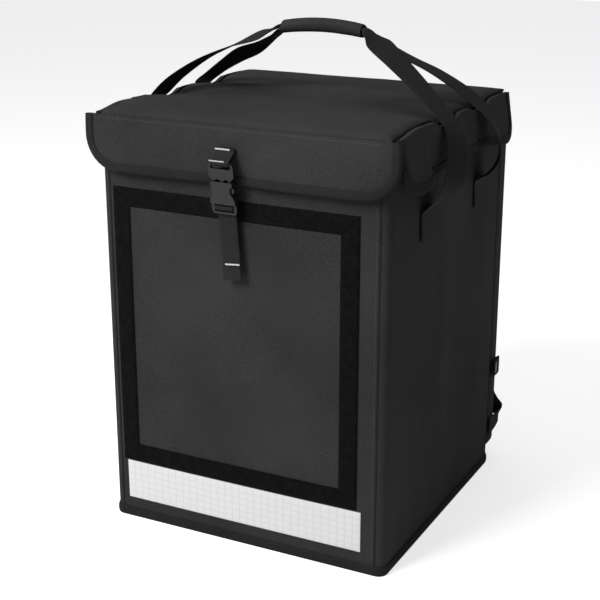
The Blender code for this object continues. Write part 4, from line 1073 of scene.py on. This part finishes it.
# %% Handle straps
for name, (_, _, layer) in HANDLES.items():
    held = []
    for share in (1.0, 0.5, 0.0, -0.5, -1.0):
        rise = layer * (FOLDED_THICK + 3 * GAP) / 2 + 0.0055 * (1 - share**2)
        place = GRIP_CENTRE + Vector((share * GRIP_HALF, 0, rise))
        held.append(Station(place, Vector((0, 1, 0)), 0, FOLDED, FOLDED_THICK))
    route = handle_side(name, 1) + handle_leg(name, 1) + held
    route += (handle_side(name, -1) + handle_leg(name, -1))[::-1]
    web = band(
        "handle_web_" + name, turned(smooth_route(route, 9)), webbing_finish, "webbing",
        ("handle_strap_" + name,), sides=20,
    )
    print(web.name, [round(x, 3) for x in web.dimensions])

# %% [markdown]
# The grip is a padded sleeve closed round both straps. Like the lid it starts from its CAD solid,
# with the channel for the straps through it, and is swelled a little.

# %% Grip
grip = swelled("hand_grip", "grip_sleeve", 0.0022, 0.0012, (0, 0, 1), pressure=6.0)
soften(grip, 4, 1)
finish(grip, box_cloth, "cloth", "hand_grip")

# %% [markdown]
# ## Closure
# A side-release buckle, closed. The upper webbing comes down the flap and folds round the bar of the
# upper half. The lower webbing comes up from the front panel, goes over the lower half's bar and
# hangs as a free tail. The two moulded halves keep their CAD shapes, with their edges rounded.

# %% Closure webbing
BAR, SLOT, DEEP, NARROW = 0.0028, 0.0036, 0.0046, 0.0015
bar_place = Matrix.Translation((PANEL_CENTRE, -HALF_DEPTH - 0.0241, BUCKLE_BAR_HEIGHT))
to_world = bar_place @ Matrix.Rotation(math.radians(99), 4, "X")


def round_bar(angle):
    """Up and out round a nearly square bar, at an angle in degrees."""
    turn = math.radians(angle)
    return [math.copysign(abs(part) ** 0.7, part) for part in (math.sin(turn), math.cos(turn))]


def wrapped(foot, deep):
    """Webbing over the middle bar of a plate with two slots."""
    reach = 2 * GAP + NARROW / 2
    layer = deep / 2 + reach
    bar = foot + 1.5 * BAR + SLOT
    behind = -layer - NARROW - 2 * GAP
    places = [Vector((0, up, behind)) for up in (foot - 0.003, foot + BAR, foot + BAR + SLOT * 0.6)]
    for angle in (180, 150, 120, 90, 60, 30, 0, -30, -60):
        up, out = round_bar(angle)
        places.append(Vector((0, bar + (BAR / 2 + reach) * up, layer * out)))
    for angle in (0, 45, 90):
        turn = math.radians(angle)
        places.append(Vector((0, foot + BAR + reach * math.cos(turn), -deep / 2 - reach * math.sin(turn))))
    return places


def narrow(place, across):
    """A station of the 25 mm webbing."""
    return Station(Vector(place), Vector(across), 0, NARROW_WEB, NARROW)


def narrow_band(name, places, node, steps=5):
    """The closure's webbing along a list of places."""
    route = [narrow(place, (1, 0, 0)) for place in places]
    return band(name, turned(smooth_route(route, steps)), webbing_finish, "webbing", (node,), sides=16)


reach = 2 * GAP + NARROW / 2
tab_top = BUCKLE_BAR_HEIGHT + 0.0174


def on_flap(z, layer):
    stand = 0.0007 + NARROW / 2 + layer * (NARROW + 4 * GAP)
    return Vector((PANEL_CENTRE, -front_flap_face(PANEL_CENTRE, z) - stand, z))


def on_panel(z, off=0.0):
    return Vector((PANEL_CENTRE, -front_face(PANEL_CENTRE, z) - 2 * GAP - NARROW / 2 - off, z))


tab = [on_flap(tab_top, 1), on_flap(tab_top - 0.006, 1)]
for angle in (45, 10, -30, -60, -90, -120, -150, -180):
    up, out = round_bar(angle)
    tab.append(to_world @ Vector((0, (BAR / 2 + reach) * up, (DEEP / 2 + reach) * out)))
tab.append(to_world @ Vector((0, BAR / 2, -DEEP / 2 - reach - NARROW)))
tab += [on_flap(tab_top - 0.0108, 0), on_flap(tab_top - NARROW, 0)]
narrow_band("closure_tab_web", tab, "closure_tab")

foot_y = BAR / 2 - BUCKLE_LENGTH
top = BUCKLE_BAR_HEIGHT - 0.1086 + 0.022
route = [on_panel(top - 0.022), on_panel(top - 0.011), on_panel(top), on_panel(top + 0.007, 0.0026)]
route += [to_world @ place for place in wrapped(foot_y, DEEP)]
tail_top = to_world @ Vector((0, foot_y - 0.002, -DEEP / 2 - reach))
route.append(tail_top)
for share in (0.33, 0.66, 1.0):
    x = tail_top.x + TAIL_LENGTH * share * math.sin(math.radians(5))
    z = tail_top.z - TAIL_LENGTH * share * math.cos(math.radians(5))
    stand = front_face(x, z) + NARROW + 0.010 * (1 - 0.25 * math.sin(math.pi * share))
    route.append(Vector((x, tail_top.y * (1 - share) - stand * share, z)))
narrow_band("closure_tail_web", route, "closure_strap")

# %% Buckle
for node in ("buckle_male", "buckle_female", "adjuster_left", "adjuster_right"):
    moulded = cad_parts[node]
    weld = moulded.modifiers.new("weld", "WELD")
    weld.merge_threshold = 0.00001
    rounding = moulded.modifiers.new("rounding", "BEVEL")
    rounding.width = 0.0005
    rounding.segments = 3
    rounding.limit_method = "ANGLE"
    rounding.angle_limit = math.radians(40)
    rounding.harden_normals = True
    moulded.data.materials.clear()
    moulded.data.materials.append(plastic_finish)

# %% [markdown]
# ## Bar tacks
# White thread holds the webbing where it is sewn: a row of close satin stitches. One stitch is a
# sphere drawn out into a short thread. It is copied along the row by an array.

# %% Stitches
def bar_tack(name, middle, along, up, length, height):
    """A row of satin stitches: along is the row, up the direction of each stitch."""
    bpy.ops.object.select_all(action="DESELECT")
    bpy.ops.mesh.primitive_uv_sphere_add(segments=8, ring_count=6, radius=1)
    item = bpy.context.object
    item.name = name
    item.data.transform(Matrix.Diagonal((0.00042, 0.0003, height / 2, 1)))
    count = round(length / 0.00072)
    apply(
        item, "ARRAY", count=count, use_relative_offset=False, use_constant_offset=True,
        constant_offset_displace=(0.00072, 0, 0),
    )
    item.data.transform(Matrix.Translation((-(count - 1) * 0.00036, 0, 0)))
    along, up = Vector(along).normalized(), Vector(up).normalized()
    out = along.cross(up)
    turn = Matrix((along, -out, up)).transposed().to_4x4()
    item.data.transform(Matrix.Translation(middle) @ turn)
    for vertex in item.data.vertices:
        vertex.co += up * noise.noise(vertex.co * 900) * 0.0003
    project_uv(item)
    bpy.ops.object.shade_smooth()
    return finish(item, thread_finish, "webbing")


bar_tack(
    "tack_tab_upper", on_flap(0.5286, 1) + Vector((-0.0027, -NARROW / 2 - 0.0003, 0)), (1, 0, 0), (0, 0, 1),
    0.020, 0.0024,
)
roll = to_world @ Vector((-0.0034, BAR / 2 + 0.0022, DEEP / 2 + reach + NARROW / 2 - 0.0006))
bar_tack("tack_tab_lower", roll, (1, 0, 0), (0, -0.45, 0.9), 0.020, 0.0024)
tail_mark = Vector((-0.0013, -front_face(-0.001, 0.387) - 0.0135, 0.3871))
bar_tack("tack_tail", tail_mark, (1, 0, 0.087), (0, 0, 1), 0.020, 0.0024)
print("tacks made")

# %% [markdown]
# A visible row of seam thread runs along the top of the front flap, just under the lid's edge, and
# down the front panel near each corner. One stitch is a long bead, copied along the seam.

# %% Seam stitches
seam_thread = cloth_finish(
    "seam_thread", (0.07, 0.07, 0.07, 1), (0.16, 0.16, 0.16, 1), (2500.0, 2500.0), 0.2, 0.7
)


def seam_row(name, start, finish_point, pitch, lay):
    """Stitches in a straight row; lay moves each vertex onto the cloth."""
    start, finish_point = Vector(start), Vector(finish_point)
    along = (finish_point - start).normalized()
    bpy.ops.object.select_all(action="DESELECT")
    bpy.ops.mesh.primitive_uv_sphere_add(segments=6, ring_count=5, radius=1)
    item = bpy.context.object
    item.name = name
    item.data.transform(Matrix.Diagonal((0.00028, 0.00028, 0.30 * pitch, 1)))
    item.data.transform(along.to_track_quat("Z", "Y").to_matrix().to_4x4())
    count = int((finish_point - start).length / pitch)
    apply(
        item, "ARRAY", count=count, use_relative_offset=False, use_constant_offset=True,
        constant_offset_displace=along * pitch,
    )
    for vertex in item.data.vertices:
        place = vertex.co + start
        vertex.co = (place.x, place.y - lay(place.x, place.z), place.z)
    project_uv(item)
    bpy.ops.object.shade_smooth()
    return finish(item, seam_thread, "webbing")


seam_row(
    "seam_row_flap", (-0.198, 0, 0.5512), (0.198, 0, 0.5512), 0.0036,
    lambda x, z: front_flap_face(x, z) + 0.0001,
)
for side, word in ((-1, "left"), (1, "right")):
    x = side * (HALF_WIDTH - 0.0165)
    seam_row(
        "seam_row_" + word, (x, 0, 0.020), (x, 0, 0.480), 0.0040, lambda x, z: front_face(x, z) + 0.0001
    )

# %% [markdown]
# ## The carrying side
# The photograph doesn't show it. It is finished plainly: a ribbed cushion of spacer mesh, two padded
# shoulder straps with webbing and adjusters, and the folded anchors in the back seams. The cushion
# is swelled from its CAD solid. The straps are swept, thick in the middle and thin at the rim.

# %% Back cushion
pad = swelled("back_pad", "back_cushion", 0.0072, 0.0020, (0, 1, 0))
soften(pad, 3, 1)
finish(pad, lining_finish, "spacer_mesh", "back_pad")

# %% Shoulder straps
BOWS = (
    (0.0, 0.0, 0.0), (0.12, 0.04, 0.12), (0.30, 0.16, 0.72), (0.55, 0.42, 1.0), (0.80, 0.74, 0.86),
    (1.0, 1.0, 0.58),
)
PAD_FACE = HALF_DEPTH + GAP + 0.041


def padded_strap(name, side):
    """A foam strap with a thin bound rim: thick in the middle of its width and narrow at its edges."""
    route = []
    for down, sideways, stand in BOWS:
        out, height = PAD_FACE + GAP + 0.006 + 0.048 * stand, 0.505 - 0.300 * down
        place = Vector((side * (0.072 + 0.046 * sideways), out, height))
        route.append(Station(place, Vector((side, 0, 0)), 0, 0.062, 0.012))
    stations = turned(smooth_route(route, 14))
    last = len(stations) - 1
    places = [s[0] for s in stations]
    profile = (
        (0.0, 0.47), (0.55, 0.5), (0.82, 0.42), (0.87, 0.30), (0.93, 0.28), (0.985, 0.22), (1.0, 0.0),
        (0.985, -0.22), (0.93, -0.28), (0.87, -0.30), (0.82, -0.42), (0.55, -0.5), (0.0, -0.47),
    )
    ring = list(profile) + [(-a, b) for a, b in profile[-2:0:-1]]
    ring.append(ring[0])
    length = sum((b - a).length for a, b in zip(places, places[1:]))

    def place(u, v):
        index = round(u * last)
        way = (places[min(last, index + 1)] - places[max(0, index - 1)]).normalized()
        across = stations[index][1]
        out = way.cross(across) * -side
        a, b = ring[round(v * (len(ring) - 1))]
        end = smooth(min(index, last - index) / 3 + 0.5)
        dimple = crumple(places[index] + across * a * 0.03, 0.03, 0.0006)
        thick = 0.012 + dimple * (1 if abs(a) < 0.85 else 0)
        return places[index] + across * a * 0.031 + out * b * thick * end

    item = laid("padded_" + name, last, len(ring) - 1, place, (length, 0.15), joined=True)
    finish(item, lining_finish, "spacer_mesh", name)
    return stations


for side, word in ((1, "right"), (-1, "left")):
    stations = padded_strap("shoulder_strap_" + word, side)
    end = stations[-1][0]
    way = (end - (stations[-1 - 14 // 4][0])).normalized()
    aside = Vector((side, 0, 0))
    aside = (aside - way * aside.dot(way)).normalized()
    facing = Matrix((aside, -way, way.cross(aside))).transposed().to_4x4()
    plate = Matrix.Translation(end + way * 0.0133) @ facing
    wraps = [plate @ Vector((p.x, p.y, -side * p.z)) for p in wrapped(-0.013, 0.004)]
    upward = Vector((0, 0, 1))
    sewn = Vector((side * (0.199 + GAP + NARROW / 2), HALF_DEPTH + 2 * GAP + NARROW, 0.054))
    edge = Vector((side * 0.183, PAD_FACE + 0.004, 0.082))
    route = [
        narrow(sewn, upward), narrow(sewn + Vector((0, 0.022, 0)), upward),
        narrow((side * 0.2, PAD_FACE + 0.0004, 0.064), (side * 0.2, 0, 1)),
        narrow(edge, (side * 0.8, 0, 0.7)),
        narrow(edge.lerp(wraps[0], 0.5) + Vector((0, 0.004, 0)), (side, 0, 0.4)),
    ]
    route += [narrow(place, aside) for place in wraps]
    for drop in (0, 0.045, 0.090):
        hang = Vector((0, 0.002 - 0.06 * drop, -drop))
        route.append(narrow(wraps[-1] + way * 0.012 + hang, aside))
    band(
        "shoulder_web_" + word, turned(smooth_route(route, 4)), webbing_finish, "webbing",
        ("shoulder_webbing_" + word,), sides=16,
    )

    start = Vector((side * (0.199 + GAP + NARROW / 2), HALF_DEPTH + 2 * GAP + NARROW, 0.146))
    outward = Vector((side * (2 * NARROW + 0.0005), 0, 0))
    loop = [start, start + Vector((0, 0.0176, 0)), start + Vector((side * (NARROW + 0.00025), 0.024, 0))]
    loop += [start + outward + Vector((0, 0.0176, 0)), start + outward]
    route = [narrow(place, upward) for place in loop]
    band(
        "anchor_web_" + word, turned(smooth_route(route, 5)), webbing_finish, "webbing",
        ("anchor_loop_" + word,), sides=16,
    )
    tack_place = start + outward + Vector((side * (NARROW / 2 + 0.0002), 0.006, 0))
    bar_tack("tack_anchor_" + word, tack_place, (0, 0, 1), (0, 1, 0), 0.016, 0.0030)
print("carrying side made, pieces so far:", len(MADE))
